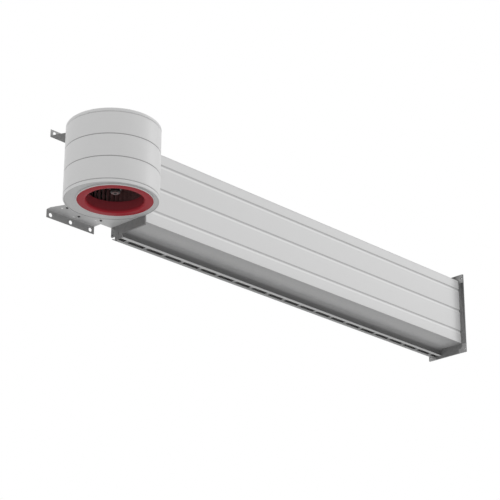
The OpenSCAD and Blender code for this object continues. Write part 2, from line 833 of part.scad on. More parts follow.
module neck_bolts() {
  color("silver") placed() for (z = neck_bolt_heights)
    translate([duct_x0 - drum_sheet, rear_y + flange_rear_w / 2, z]) rotate([0, 90, 0]) {
      screw_up(screw_head, drum_sheet + flange_t);
    }
}

// Panel outline: three grooves, each a long slope under a short ledge
groove_count = 3;
groove_pitch = (duct_h - groove_first - groove_last) / (groove_count - 1);
groove_heights = [for (i = [0:groove_count - 1]) duct_z0 + groove_first + i * groove_pitch];
function panel_line(y) = [for (g = groove_heights, k = [0:2])
  k == 0 ? [y, g - groove_slope] :
  k == 1 ? [y + groove_depth, g - groove_ledge / 2] : [y, g + groove_ledge / 2]];
function backwards(list) = [for (i = [len(list) - 1:-1:0]) list[i]];

module duct_front_panel() {
  z0 = duct_z0 + duct_sheet;
  z1 = duct_z1 - duct_sheet;
  in_y = panel_y + duct_sheet;
  end_y = panel_y + panel_flange;
  color("whitesmoke") placed() along_x(sheet_x0, sheet_x1) polygon(concat(
    [[end_y, z0], [panel_y, z0]], panel_line(panel_y), [[panel_y, z1], [end_y, z1],
    [end_y, z1 - duct_sheet], [in_y, z1 - duct_sheet]],
    backwards(panel_line(in_y)), [[in_y, z0 + duct_sheet], [end_y, z0 + duct_sheet]]));
}

module duct_top_panel() {
  color("whitesmoke") placed() block([sheet_x0, panel_y, duct_z1 - duct_sheet],
    [sheet_x1, rear_y, duct_z1]);
}

module duct_rear_panel() {
  color("darkgray") placed() {
    block([sheet_x0, rear_y - duct_sheet, nozzle_z + duct_sheet],
      [sheet_x1, rear_y, duct_z1 - duct_sheet]);
    block([duct_x0, rear_y - duct_sheet, nozzle_z + duct_sheet],
      [sheet_x1, rear_y, near_z0]);
  }
}

// Bottom plate: flat, then bent down into the nozzle's front wall
module duct_bottom_plate() {
  bend_y = nozzle_front_y - nozzle_bend;
  bend_z = duct_z0 - nozzle_bend;
  in_r = nozzle_bend + duct_sheet;
  lip_top = nozzle_z + duct_sheet;
  color("darkgray") placed() {
    along_x(sheet_x0, sheet_x1) {
      translate([bend_y, bend_z]) difference() {
        circle(r = in_r);
        circle(r = nozzle_bend);
        translate([-2 * in_r, -2 * in_r]) square([2 * in_r, 4 * in_r]);
        translate([-2 * in_r, -2 * in_r]) square([4 * in_r, 2 * in_r]);
      }
      translate([panel_y, duct_z0]) square([bend_y - panel_y, duct_sheet]);
      translate([nozzle_front_y, lip_top]) square([duct_sheet, bend_z - lip_top]);
    }
    block([duct_x0, nozzle_front_y, lip_top],
      [sheet_x0 + cut, nozzle_front_y + duct_sheet, min(bend_z, near_z0)]);
  }
}

// Front lip: it stands out in front of the nozzle wall and ends at the slot
lip_out = 9;
module nozzle_front_lip() {
  up_y = nozzle_front_y + duct_sheet;
  color("silver") placed() along_x(duct_x0, sheet_x1) {
    translate([nozzle_front_y - lip_out, nozzle_z])
      square([slot_y0 - nozzle_front_y + lip_out, duct_sheet]);
    translate([up_y, nozzle_z]) square([duct_sheet, lip_up]);
  }
}

// Rear lip, with a narrow tongue that runs on towards the drum
module nozzle_rear_lip() {
  color("silver") placed() {
    along_x(duct_x0, sheet_x1) {
      translate([slot_y1, nozzle_z]) square([rear_y - slot_y1, duct_sheet]);
      translate([rear_y - 2 * duct_sheet, nozzle_z]) square([duct_sheet, lip_up]);
    }
    block([duct_x0 - lip_tongue, rear_y - lip_tongue_d, nozzle_z],
      [sheet_x0, rear_y, nozzle_z + duct_sheet]);
  }
}

// A bridge stands on both lips, between their upstands
module bridges(first, last) {
  y0 = nozzle_front_y + 2 * duct_sheet;
  y1 = rear_y - 2 * duct_sheet;
  for (i = [first:last]) {
    x = duct_x0 + bridge_first + i * bridge_pitch;
    block([x - bridge_w / 2, y0, nozzle_z + duct_sheet],
      [x + bridge_w / 2, y1, nozzle_z + 2 * duct_sheet]);
  }
}

module nozzle_bridges_near() {
  color("darkgray") placed() bridges(0, floor(bridge_count / 2) - 1);
}

module nozzle_bridges_far() {
  color("darkgray") placed() bridges(floor(bridge_count / 2), bridge_count - 1);
}

// Closes the nozzle's near end below the near flange
module nozzle_end_plate() {
  color("darkgray") placed() block(
    [duct_x0, nozzle_front_y + 2 * duct_sheet, nozzle_z + duct_sheet],
    [duct_x0 + duct_sheet, rear_y - 2 * duct_sheet, near_z0]);
}

// Far flange: a thick frame that reaches round duct and nozzle
module far_flange() {
  color("dimgray") placed() difference() {
    block([sheet_x1, far_y0, far_z0], [duct_x1, flange_rear, far_z1]);
    block([sheet_x1 - cut, panel_y + duct_sheet, duct_z0 + duct_sheet],
      [duct_x1 + cut, rear_y - duct_sheet, duct_z1 - duct_sheet]);
    for (p = far_corners)
      translate([sheet_x1 - cut, p.x, p.y]) rotate([0, 90, 0])
        cylinder(r = corner_hole_r, h = flange_t + 2 * cut, $fn = 48);
    for (p = far_sides)
      translate([sheet_x1 - cut, p.x, p.y]) rotate([0, 90, 0])
        cylinder(r = side_hole_r, h = flange_t + 2 * cut, $fn = 48);
  }
}

// Corner holes of the far flange, as (y, z), and the holes halfway up its sides
far_corners = [for (y = [far_y0 + corner_inset_y, flange_rear - corner_inset_y],
  z = [far_z0 + corner_inset_z, far_z1 - far_top_inset]) [y, z]];
far_sides = [for (y = [far_y0 + 2 * corner_inset_y, flange_rear - 2 * corner_inset_y])
  [y, (far_z0 + far_z1) / 2]];

module far_corner_plates() {
  color("gray") placed() translate([sheet_x1 - corner_plate_t, 0, 0]) difference() {
    for (up = [0, 1]) {
      z = up == 1 ? far_z1 : far_z0;
      sz = up == 1 ? -1 : 1;
      inset_z = up == 1 ? far_top_inset : corner_inset_z;
      corner_plate(far_y0, z, 1, sz, corner_inset_y, inset_z);
      corner_plate(flange_rear, z, -1, sz, corner_inset_y, inset_z);
    }
    block([-cut, nozzle_front_y - lip_out - fit_gap, nozzle_z - fit_gap],
      [corner_plate_t + cut, rear_y + fit_gap, duct_z1]);
  }
}

module end_cap() {
  color("darkgray") placed() difference() {
    block([duct_x1, panel_y - cap_margin, duct_z0 - cap_margin],
      [duct_x1 + cap_t, rear_y + cap_margin, duct_z1 + cap_margin]);
    for (p = cap_screws)
      translate([duct_x1 - cut, p.x, p.y]) rotate([0, 90, 0])
        cylinder(r = screw_r + fit_gap, h = cap_t + 2 * cut, $fn = 32);
  }
}

// Screws of the end cap, as (y, z)
cap_screw_rows = 4;
cap_screws = [for (y = [panel_y - cap_margin / 2, rear_y + cap_margin / 2],
  i = [0:cap_screw_rows - 1]) [y, duct_z0 + (i + 1 / 2) * duct_h / cap_screw_rows]];

module end_cap_screws() {
  color("silver") placed() for (p = cap_screws)
    translate([duct_x1, p.x, p.y]) rotate([0, 90, 0]) {
      cylinder(r = screw_r, h = cap_t, $fn = 32);
      translate([0, 0, cap_t]) cylinder(r = screw_af / 2, h = cover_screw_head_h, $fn = 32);
    }
}

module motor_shaft() {
  color("silver") placed() on_fan_axis(shaft_z0) difference() {
    cylinder(r = shaft_r, h = shaft_z1 - shaft_z0);
    translate([0, 0, -cut]) cylinder(r = hub_bolt_r + shaft_gap, h = hub_bolt_l + 2 * cut, $fn = 32);
  }
}

module rotor_core() {
  mid = motor_z + motor_h / 2;
  color("silver") placed() on_fan_axis(mid - stator_h / 2)
    ring(stator_in_r - air_gap, shaft_r + shaft_gap, stator_h);
}

module impeller_hub() {
  color("dimgray") placed() on_fan_axis() difference() {
    union() {
      translate([0, 0, hub_z]) cylinder(r = hub_r, h = hub_top_z - hub_z);
      translate([0, 0, hub_flange_z]) cylinder(r = hub_flange_r, h = hub_flange_t);
    }
    translate([0, 0, hub_z - cut]) cylinder(r = shaft_r + shaft_gap, h = hub_top_z);
    hub_rivet_holes(hub_flange_z - cut, hub_flange_t + 2 * cut);
  }
}

// Rivets between the hub's flange and the back plate
hub_rivet_count = 8;
hub_rivet_r = 2.5;
module hub_rivet_holes(z, h) {
  for (i = [0:hub_rivet_count - 1]) rotate([0, 0, i * 360 / hub_rivet_count])
    translate([(hub_flange_r + hub_r) / 2, 0, z])
      cylinder(r = hub_rivet_r + shaft_gap, h = h, $fn = 24);
}

// Dished back plate: a flat seat on the hub's flange, a cone and a flat rim
module impeller_back_plate() {
  seat_z = hub_flange_z + hub_flange_t;
  color("dimgray") placed() on_fan_axis() difference() {
    rotate_extrude() polygon([
      [hub_r + fit_gap, seat_z], [hub_flange_r, seat_z], [cone_r, blade_z1],
      [fan_r, blade_z1], [fan_r, blade_z1 + fan_sheet], [cone_r - fan_sheet, blade_z1 + fan_sheet],
      [hub_flange_r - fan_sheet, seat_z + fan_sheet], [hub_r + fit_gap, seat_z + fan_sheet]]);
    hub_rivet_holes(seat_z - cut, fan_sheet + 2 * cut);
  }
}

module hub_rivets() {
  seat_z = hub_flange_z;
  grip = hub_flange_t + fan_sheet;
  head_h = fan_sheet;
  color("silver") placed() on_fan_axis() for (i = [0:hub_rivet_count - 1])
    rotate([0, 0, i * 360 / hub_rivet_count])
      translate([(hub_flange_r + hub_r) / 2, 0, seat_z]) {
        cylinder(r = hub_rivet_r, h = grip, $fn = 24);
        translate([0, 0, -head_h]) cylinder(r = 2 * hub_rivet_r, h = head_h, $fn = 24);
        translate([0, 0, grip]) cylinder(r = 2 * hub_rivet_r, h = head_h, $fn = 24);
      }
}

// Point of a blade's middle line: share s of the way out, leading as it goes
function blade_turn(s) = blade_lead * s + blade_belly * sin(180 * s);
function blade_point(s, side) =
  let (r = blade_in_r + s * (fan_r - fan_sheet - blade_in_r),
       a = -blade_turn(s))
  [r * cos(a) - side * blade_t / 2 * sin(a), r * sin(a) + side * blade_t / 2 * cos(a)];

// Forward-curved blades between the front ring and the back plate
module impeller_blades() {
  steps = 5;
  color("dimgray") placed() on_fan_axis(blade_z0) for (i = [0:blade_count - 1])
    rotate([0, 0, i * 360 / blade_count]) linear_extrude(blade_h) polygon(concat(
      [for (k = [0:steps]) blade_point(k / steps, -1)],
      [for (k = [steps:-1:0]) blade_point(k / steps, 1)]));
}

module impeller_front_ring() {
  color("dimgray") placed() on_fan_axis(fan_z) ring(fan_r, eye_r, fan_sheet);
}

module hub_washer() {
  color("silver") placed() on_fan_axis(hub_z - washer_t)
    ring(washer_r, hub_bolt_r + shaft_gap, washer_t - fit_gap);
}

module hub_bolt() {
  color("dimgray") placed() on_fan_axis(hub_z - washer_t - hub_bolt_head) {
    hex(hub_bolt_af, hub_bolt_head);
    cylinder(r = hub_bolt_r, h = hub_bolt_head + washer_t + hub_bolt_l, $fn = 32);
  }
}

drum_bottom_rim();
drum_lower_band();
drum_middle_band();
drum_upper_band();
drum_top_rim();
drum_top_cover();
bottom_ring_plate();
base_plate();
upper_wall_bracket();
inlet_ring();
neck_rear_wall();
cutoff_tongue();
drum_clips();
plate_screws();
cover_screws();
bracket_bolts();
motor_mount_plate();
motor_posts();
motor_bolts();
motor_top_shield();
motor_body();
motor_bottom_shield();
stator_core();
upper_bearing();
lower_bearing();
terminal_box();
terminal_box_lid();
cable_gland();
near_flange();
near_corner_plates();
neck_bolts();
duct_front_panel();
duct_top_panel();
duct_rear_panel();
duct_bottom_plate();
nozzle_front_lip();
nozzle_rear_lip();
nozzle_bridges_near();
nozzle_bridges_far();
nozzle_end_plate();
far_flange();
far_corner_plates();
end_cap();
end_cap_screws();
motor_shaft();
rotor_core();
impeller_hub();
impeller_back_plate();
impeller_blades();
impeller_front_ring();
hub_rivets();
hub_washer();
hub_bolt();
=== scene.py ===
# %% [markdown]
# An industrial air curtain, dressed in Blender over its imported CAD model.
# The machine hangs on a wall above a door. A round drum holds a fan wheel
# that draws air up through a red inlet ring and blows it into a long duct,
# and a slotted nozzle at the duct's lower rear edge blows the air down.
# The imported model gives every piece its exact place, so nothing here is
# fitted by eye: lengths are the same millimetres as in the CAD source, apart
# from the drum's seams, where the text says why they differ.

# %% Load the frame
import json
import math

import bmesh
import bpy
import numpy as np
from mathutils import Matrix, Vector
from mathutils.geometry import delaunay_2d_cdt


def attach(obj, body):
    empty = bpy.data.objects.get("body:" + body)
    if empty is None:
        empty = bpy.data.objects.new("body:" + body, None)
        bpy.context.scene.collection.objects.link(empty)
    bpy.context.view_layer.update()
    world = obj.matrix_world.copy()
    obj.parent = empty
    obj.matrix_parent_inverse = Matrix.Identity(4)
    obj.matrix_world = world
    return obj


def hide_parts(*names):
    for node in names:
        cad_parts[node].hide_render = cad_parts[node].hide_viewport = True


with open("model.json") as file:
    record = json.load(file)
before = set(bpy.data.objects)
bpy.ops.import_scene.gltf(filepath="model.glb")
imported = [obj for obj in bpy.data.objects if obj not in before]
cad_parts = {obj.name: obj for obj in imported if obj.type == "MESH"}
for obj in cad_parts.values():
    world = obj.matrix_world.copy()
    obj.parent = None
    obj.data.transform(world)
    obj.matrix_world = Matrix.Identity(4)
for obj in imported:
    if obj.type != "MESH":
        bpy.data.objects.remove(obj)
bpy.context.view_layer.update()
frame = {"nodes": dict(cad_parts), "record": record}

# %% [markdown]
# The camera stands low and left of the machine and looks up at it, as the
# photograph does. It was found by fitting a pinhole camera to corners whose
# place is known: the drum's rims, the flanges' corners and the nozzle bars.
# A camera could be turned with a Track To constraint, but the fit also gives
# a small roll, so the three axes of its turn are written out instead. The
# angles are in radians, and the focal length is in pixels of the picture.

# %% Camera
camera_place = Vector((-5.7895, -7.0537, -3.8495))
azimuth, elevation, roll = 0.769, 0.3857, 0.002891
focal_px, picture_px, sensor = 1698.0, 500.0, 36.0
ahead = Vector((math.cos(elevation) * math.cos(azimuth),
                math.cos(elevation) * math.sin(azimuth), math.sin(elevation)))
level = Vector((math.sin(azimuth), -math.cos(azimuth), 0.0))
overhead = level.cross(ahead)
right = math.cos(roll) * level + math.sin(roll) * overhead
above = math.cos(roll) * overhead - math.sin(roll) * level
camera_data = bpy.data.cameras.new("camera")
camera_data.sensor_width = sensor
camera_data.lens = focal_px / picture_px * sensor
camera_data.clip_end = 200.0
camera = bpy.data.objects.new("camera", camera_data)
camera.matrix_world = Matrix.Translation(camera_place) @ Matrix(
    (right, above, -ahead)).transposed().to_4x4()
bpy.context.scene.collection.objects.link(camera)
bpy.context.scene.camera = camera
print("lens", round(camera_data.lens, 2), "mm")

# %% [markdown]
# Light and finishes are networks of nodes. Blender's own calls make a node,
# set its values and link its sockets one at a time. Two small helpers do the
# same in one line each, so that the cells below read like a wiring list.

# %% Node helpers
def add(tree, kind, **settings):
    """A new node, with its named properties and its numbered or named inputs set."""
    node = tree.nodes.new(kind)
    for key, value in settings.items():
        if key.startswith("in_"):
            label = key[3:].replace("_", " ")
            node.inputs[int(label) if label.isdigit() else label].default_value = value
        else:
            setattr(node, key, value)
    return node


def join(tree, *pairs):
    """Links each (output socket, input socket) pair."""
    for source, target in pairs:
        tree.links.new(source, target)


print("node helpers ready")

# %% [markdown]
# The light is that of a pale studio. A white world lights everything evenly,
# and one soft sun from the right front gives the round drum its brighter
# edge. The world could be one plain colour, but then a white background
# would need so much light that white paint burns out. Light Path keeps the
# two apart: the camera and mirror-like surfaces see white, and matt
# surfaces are lit by a calmer grey.

# %% World and sun
white, world_light, sun_light, sun_width = (1.0, 1.0, 1.0, 1.0), 0.636, 0.41, 25


def seen_directly(tree):
    """One for rays from the camera, mirrored rays and rays through glass, nought for others."""
    path = add(tree, "ShaderNodeLightPath")
    two = add(tree, "ShaderNodeMath", operation="MAXIMUM")
    three = add(tree, "ShaderNodeMath", operation="MAXIMUM")
    join(tree, (path.outputs["Is Camera Ray"], two.inputs[0]),
         (path.outputs["Is Glossy Ray"], two.inputs[1]), (two.outputs[0], three.inputs[0]),
         (path.outputs["Is Transmission Ray"], three.inputs[1]))
    return three.outputs[0]


world = bpy.data.worlds.new("pale studio")
world.use_nodes = True
bpy.context.scene.world = world
tree = world.node_tree
tree.nodes.clear()
light_in = add(tree, "ShaderNodeBackground", in_Color=white, in_Strength=world_light)
light_seen = add(tree, "ShaderNodeBackground", in_Color=white, in_Strength=1.0)
chooser = add(tree, "ShaderNodeMixShader")
world_out = add(tree, "ShaderNodeOutputWorld")
join(tree, (seen_directly(tree), chooser.inputs[0]), (light_in.outputs[0], chooser.inputs[1]),
     (light_seen.outputs[0], chooser.inputs[2]),
     (chooser.outputs[0], world_out.inputs["Surface"]))

sun_data = bpy.data.lights.new("soft sun", "SUN")
sun_data.energy = sun_light
sun_data.angle = math.radians(sun_width)
sun = bpy.data.objects.new("soft sun", sun_data)
sun_from = Vector((0.85, -0.5, 0.35)).normalized()
sun.matrix_world = sun_from.to_track_quat("Z", "Y").to_matrix().to_4x4()
bpy.context.scene.collection.objects.link(sun)
bpy.context.scene.view_settings.view_transform = "Standard"
print("sun from", [round(v, 2) for v in sun_from])

# %% [markdown]
# The floor is a plain pale sheet four metres below the machine, because an
# air curtain of this size hangs high above a door. It lies under the camera
# too, so the photograph's view never meets it. A little glow, which only the
# camera, mirrors and glass see, lifts it to white and leaves the shadow on
# it. From below it is clear, so that the machine can be looked at from there.

# %% Floor
floor_z, floor_half, floor_grey, floor_glow = -4.2, 40.0, 0.9, 0.45
floor_mesh = bpy.data.meshes.new("floor")
floor_mesh.from_pydata([(x, y, floor_z) for x, y in ((-floor_half, -floor_half),
                                                     (floor_half, -floor_half),
                                                     (floor_half, floor_half),
                                                     (-floor_half, floor_half))],
                       [], [(0, 1, 2, 3)])
floor = bpy.data.objects.new("floor", floor_mesh)
bpy.context.scene.collection.objects.link(floor)
floor_paint = bpy.data.materials.new("floor_pale")
floor_paint.use_nodes = True
tree = floor_paint.node_tree
matt = tree.nodes["Principled BSDF"]
matt.inputs["Base Color"].default_value = (floor_grey, floor_grey, floor_grey, 1.0)
matt.inputs["Roughness"].default_value = 0.9
glow = add(tree, "ShaderNodeEmission", in_Strength=floor_glow)
glowing = add(tree, "ShaderNodeAddShader")
for_camera = add(tree, "ShaderNodeMixShader")
clear = add(tree, "ShaderNodeBsdfTransparent")
side = add(tree, "ShaderNodeNewGeometry")
one_sided = add(tree, "ShaderNodeMixShader")
join(tree, (matt.outputs[0], glowing.inputs[0]), (glow.outputs[0], glowing.inputs[1]),
     (seen_directly(tree), for_camera.inputs[0]), (matt.outputs[0], for_camera.inputs[1]),
     (glowing.outputs[0], for_camera.inputs[2]),
     (side.outputs["Backfacing"], one_sided.inputs[0]),
     (for_camera.outputs[0], one_sided.inputs[1]), (clear.outputs[0], one_sided.inputs[2]),
     (one_sided.outputs[0], tree.nodes["Material Output"].inputs["Surface"]))
floor_mesh.materials.append(floor_paint)
print("floor at", floor_z, "m")

# %% [markdown]
# Effects that many finishes share are node groups, built once: fine grain,
# zinc spangle, edge wear and dust. Each could be painted on by hand, but a
# formula on Object coordinates needs no unwrapping and stays sharp at any
# distance. A group puts out only masks and heights, and each material
# decides what they do to its own colour and gloss.

# %% Empty groups
def new_group(name, inputs, outputs):
    """An empty shader group with float inputs (name, default) and float outputs."""
    group = bpy.data.node_groups.new(name, "ShaderNodeTree")
    for label, default in inputs:
        socket = group.interface.new_socket(label, in_out="INPUT", socket_type="NodeSocketFloat")
        socket.default_value = default
    for label in outputs:
        group.interface.new_socket(label, in_out="OUTPUT", socket_type="NodeSocketFloat")
    return group, group.nodes.new("NodeGroupInput"), group.nodes.new("NodeGroupOutput")


print("group helper ready")

# %% [markdown]
# No coat is quite even. A fine noise gives paint its orange peel and steel
# its roughness, and a broad one makes both a little cloudy. A picture of a
# surface could do this too, but noise never repeats.

# %% Fine grain
grain, grain_in, grain_out = new_group(
    "fine_grain", [("Scale", 60.0), ("Coarse", 4.0)], ["Mask", "Height"])
coords = add(grain, "ShaderNodeTexCoord")
fine = add(grain, "ShaderNodeTexNoise", in_Detail=3.0, in_Roughness=0.6)
broad = add(grain, "ShaderNodeTexNoise", in_Detail=2.0, in_Roughness=0.5)
total = add(grain, "ShaderNodeMath", operation="ADD")
mean = add(grain, "ShaderNodeMath", operation="MULTIPLY", in_1=0.5)
join(grain, (coords.outputs["Object"], fine.inputs["Vector"]),
     (coords.outputs["Object"], broad.inputs["Vector"]),
     (grain_in.outputs["Scale"], fine.inputs["Scale"]),
     (grain_in.outputs["Coarse"], broad.inputs["Scale"]),
     (fine.outputs["Fac"], total.inputs[0]), (broad.outputs["Fac"], total.inputs[1]),
     (total.outputs[0], mean.inputs[0]), (mean.outputs[0], grain_out.inputs["Mask"]),
     (fine.outputs["Fac"], grain_out.inputs["Height"]))
print("group", grain.name)

# %% [markdown]
# Zinc freezes on hot-dipped sheet in crystals up to a centimetre across, and
# each throws the light back its own way. Voronoi cells look like them once a
# little noise bends their straight sides.

# %% Zinc spangle
spangle, spangle_in, spangle_out = new_group(
    "zinc_spangle", [("Scale", 70.0)], ["Mask", "Height"])
coords = add(spangle, "ShaderNodeTexCoord")
wobble = add(spangle, "ShaderNodeTexNoise", in_Scale=25.0, in_Detail=1.0)
shift = add(spangle, "ShaderNodeVectorMath", operation="MULTIPLY_ADD", in_1=(0.02, 0.02, 0.02))
cells = add(spangle, "ShaderNodeTexVoronoi", feature="F1")
lines = add(spangle, "ShaderNodeTexVoronoi", feature="DISTANCE_TO_EDGE")
shade = add(spangle, "ShaderNodeSeparateColor")
join(spangle, (coords.outputs["Object"], wobble.inputs["Vector"]),
     (wobble.outputs["Color"], shift.inputs[0]), (coords.outputs["Object"], shift.inputs[2]),
     (shift.outputs[0], cells.inputs["Vector"]), (shift.outputs[0], lines.inputs["Vector"]),
     (spangle_in.outputs["Scale"], cells.inputs["Scale"]),
     (spangle_in.outputs["Scale"], lines.inputs["Scale"]),
     (cells.outputs["Color"], shade.inputs[0]), (shade.outputs[0], spangle_out.inputs["Mask"]),
     (lines.outputs["Distance"], spangle_out.inputs["Height"]))
print("group", spangle.name)

# %% [markdown]
# Handling rubs the edges first. The Bevel node gives the normal that a
# rounded edge would have, so the place where it leaves the real normal is an
# edge, and noise breaks the rubbed line up. Painting each edge by hand would
# take longer and would have to be done again after every change.

# %% Edge wear
wear, wear_in, wear_out = new_group(
    "edge_wear", [("Width", 0.004), ("Breakup", 90.0), ("Amount", 1.0)], ["Mask"])
geometry = add(wear, "ShaderNodeNewGeometry")
rounded = add(wear, "ShaderNodeBevel", samples=4)
match = add(wear, "ShaderNodeVectorMath", operation="DOT_PRODUCT")
edge = add(wear, "ShaderNodeMapRange", in_From_Min=0.995, in_From_Max=0.90)
coords = add(wear, "ShaderNodeTexCoord")
chips = add(wear, "ShaderNodeTexNoise", in_Detail=4.0, in_Roughness=0.65)
chipped = add(wear, "ShaderNodeMapRange", in_From_Min=0.42, in_From_Max=0.62)
product = add(wear, "ShaderNodeMath", operation="MULTIPLY")
scaled = add(wear, "ShaderNodeMath", operation="MULTIPLY")
join(wear, (wear_in.outputs["Width"], rounded.inputs["Radius"]),
     (rounded.outputs["Normal"], match.inputs[0]), (geometry.outputs["Normal"], match.inputs[1]),
     (match.outputs["Value"], edge.inputs["Value"]),
     (coords.outputs["Object"], chips.inputs["Vector"]),
     (wear_in.outputs["Breakup"], chips.inputs["Scale"]),
     (chips.outputs["Fac"], chipped.inputs["Value"]),
     (edge.outputs["Result"], product.inputs[0]), (chipped.outputs["Result"], product.inputs[1]),
     (product.outputs[0], scaled.inputs[0]), (wear_in.outputs["Amount"], scaled.inputs[1]),
     (scaled.outputs[0], wear_out.inputs["Mask"]))
print("group", wear.name)

# %% [markdown]
# Dust lies on whatever faces up. The Z of a surface's normal says how much it
# does, and broad noise makes the film uneven. A second layer of geometry
# could be dust as well, but nobody would see its thickness.

# %% Settled dust
dust, dust_in, dust_out = new_group("settled_dust", [("Amount", 1.0), ("Scale", 9.0)], ["Mask"])
geometry = add(dust, "ShaderNodeNewGeometry")
facing = add(dust, "ShaderNodeSeparateXYZ")
upward = add(dust, "ShaderNodeMapRange", in_From_Min=0.35, in_From_Max=1.0)
coords = add(dust, "ShaderNodeTexCoord")
drift = add(dust, "ShaderNodeTexNoise", in_Detail=5.0, in_Roughness=0.6)
thin = add(dust, "ShaderNodeMath", operation="MULTIPLY")
scaled = add(dust, "ShaderNodeMath", operation="MULTIPLY")
join(dust, (geometry.outputs["Normal"], facing.inputs[0]),
     (facing.outputs["Z"], upward.inputs["Value"]),
     (coords.outputs["Object"], drift.inputs["Vector"]),
     (dust_in.outputs["Scale"], drift.inputs["Scale"]),
     (upward.outputs["Result"], thin.inputs[0]), (drift.outputs["Fac"], thin.inputs[1]),
     (thin.outputs[0], scaled.inputs[0]), (dust_in.outputs["Amount"], scaled.inputs[1]),
     (scaled.outputs[0], dust_out.inputs["Mask"]))
print("group", dust.name)

# %% [markdown]
# Three families of finish cover the machine. Painted sheet is a smooth coat
# with a faint orange-peel surface. Zinc-coated sheet is a dull metal with
# patches of crystal. Plain steel, castings and plastics share a simpler
# recipe. One function builds all three, and the finishes differ only in the
# colours and amounts that they pass.
# The zinc of the real machine is darker towards the wall and in its folds,
# where the building shades it, and this studio is white all round. So some
# pieces carry painted shade and painted light: a number called tone at every
# point takes their colour towards a darker one where it is positive and a
# lighter one where it is negative. Lamps could make such shade too, but they
# would spoil the even light on the paint. Tone belongs to the piece and not
# to the camera, so it stays put in every view.

# %% Finish builder
dust_colour, spangle_share, relief_m = (0.42, 0.39, 0.34), 0.55, 0.001


def mix_to(tree, share, shown, target):
    """The colour of one socket, taken towards a fixed colour by the share in another. A Mix
    node's colours are its sockets 6 and 7, and its mixed colour is output 2."""
    mix = add(tree, "ShaderNodeMix", data_type="RGBA", in_7=(*target, 1.0))
    join(tree, (share, mix.inputs[0]), (shown, mix.inputs[6]))
    return mix.outputs[2]


def finish(name, dark, light, metal=0.0, gloss=0.45, gloss_swing=0.1, scale=60.0, bump=0.05,
           spangled=0.0, worn=None, worn_amount=0.0, dusty=0.0, specular=0.5, toned=None,
           lifted=None):
    """A material whose colour runs from dark to light with its grain; wear and dust lie over it.
    With toned, a piece's own tone attribute paints shade by taking the colour on towards that
    colour. Lifted is only for a toned finish, and is the colour of the painted light that
    negative tone leads to."""
    material = bpy.data.materials.new(name)
    material.use_nodes = True
    tree = material.node_tree
    shader = tree.nodes["Principled BSDF"]
    shader.inputs["Metallic"].default_value = metal
    shader.inputs["Specular IOR Level"].default_value = specular
    speck = add(tree, "ShaderNodeGroup", node_tree=grain, in_Scale=scale)
    mask, height = speck.outputs["Mask"], speck.outputs["Height"]
    if spangled:
        crystal = add(tree, "ShaderNodeGroup", node_tree=spangle, in_Scale=spangled)
        both = add(tree, "ShaderNodeMix", data_type="FLOAT", in_0=spangle_share)
        join(tree, (mask, both.inputs[2]), (crystal.outputs["Mask"], both.inputs[3]))
        mask = both.outputs[0]
    colour = add(tree, "ShaderNodeMix", data_type="RGBA", in_6=(*dark, 1.0), in_7=(*light, 1.0))
    join(tree, (mask, colour.inputs[0]))
    shown = colour.outputs[2]
    if toned:
        share = add(tree, "ShaderNodeAttribute", attribute_name="tone").outputs["Fac"]
        shown = mix_to(tree, share, shown, toned)
    if lifted:
        below = add(tree, "ShaderNodeMath", operation="MULTIPLY", use_clamp=True, in_1=-1.0)
        join(tree, (share, below.inputs[0]))
        shown = mix_to(tree, below.outputs[0], shown, lifted)
    if worn:
        scuffs = add(tree, "ShaderNodeGroup", node_tree=wear, in_Amount=worn_amount)
        shown = mix_to(tree, scuffs.outputs["Mask"], shown, worn)
    if dusty:
        film = add(tree, "ShaderNodeGroup", node_tree=dust, in_Amount=dusty)
        shown = mix_to(tree, film.outputs["Mask"], shown, dust_colour)
    sheen = add(tree, "ShaderNodeMapRange", in_To_Min=gloss - gloss_swing,
                in_To_Max=gloss + gloss_swing)
    relief = add(tree, "ShaderNodeBump", in_Strength=bump, in_Distance=relief_m)
    join(tree, (shown, shader.inputs["Base Color"]), (mask, sheen.inputs["Value"]),
         (sheen.outputs["Result"], shader.inputs["Roughness"]),
         (height, relief.inputs["Height"]), (relief.outputs["Normal"], shader.inputs["Normal"]))
    return material


def grey(level):
    """The linear RGB triple of an sRGB grey written as 0 to 255."""
    c = level / 255.0
    return (c / 12.92 if c <= 0.04045 else ((c + 0.055) / 1.055) ** 2.4,) * 3


print("grey 193 is", round(grey(193)[0], 3))

# %% [markdown]
# Each finish is one call. Paint, zinc and the red ring follow the photograph,
# and what it hides, such as the motor, gets the finish that such parts
# usually have. Flat colours would be quicker, but paint, zinc, castings and
# plastic each break the light in their own way.

# %% The finishes
# Toned and lifted colours below are those of painted shade and painted light.
white_paint = finish("white_paint", grey(227), grey(235), gloss=0.42, gloss_swing=0.06,
                     scale=260.0, bump=0.08, worn=grey(205), worn_amount=0.35, dusty=0.25,
                     toned=grey(150), lifted=grey(253))
red_paint = finish("red_paint", (0.32, 0.014, 0.024), (0.375, 0.019, 0.031), gloss=0.3,
                   gloss_swing=0.05, scale=200.0, bump=0.05, specular=0.05,
                   toned=(0.29, 0.045, 0.055))
zinc_look = dict(metal=0.1, specular=0.3, gloss=0.5, spangled=80.0, bump=0.12,
                 worn_amount=0.3, dusty=0.3)
galvanised = finish("galvanised_sheet", grey(183), grey(197), worn=grey(206), **zinc_look)
toned_zinc = finish("toned_zinc_sheet", grey(183), grey(197), worn=grey(206),
                    toned=grey(108), lifted=grey(236), **zinc_look)
# The next two are darker copies of the same zinc, which is painted shade: one for the duct's
# flanges, their corner plates, the bridge bars and the nozzle's end plate, one for the rear lip.
shaded_zinc = finish("shaded_zinc_sheet", grey(124), grey(140), worn=grey(158), toned=grey(48),
                   lifted=grey(200), **zinc_look)
shaded_rear_zinc = finish("shaded_rear_zinc_sheet", grey(138), grey(152), worn=grey(170), **zinc_look)
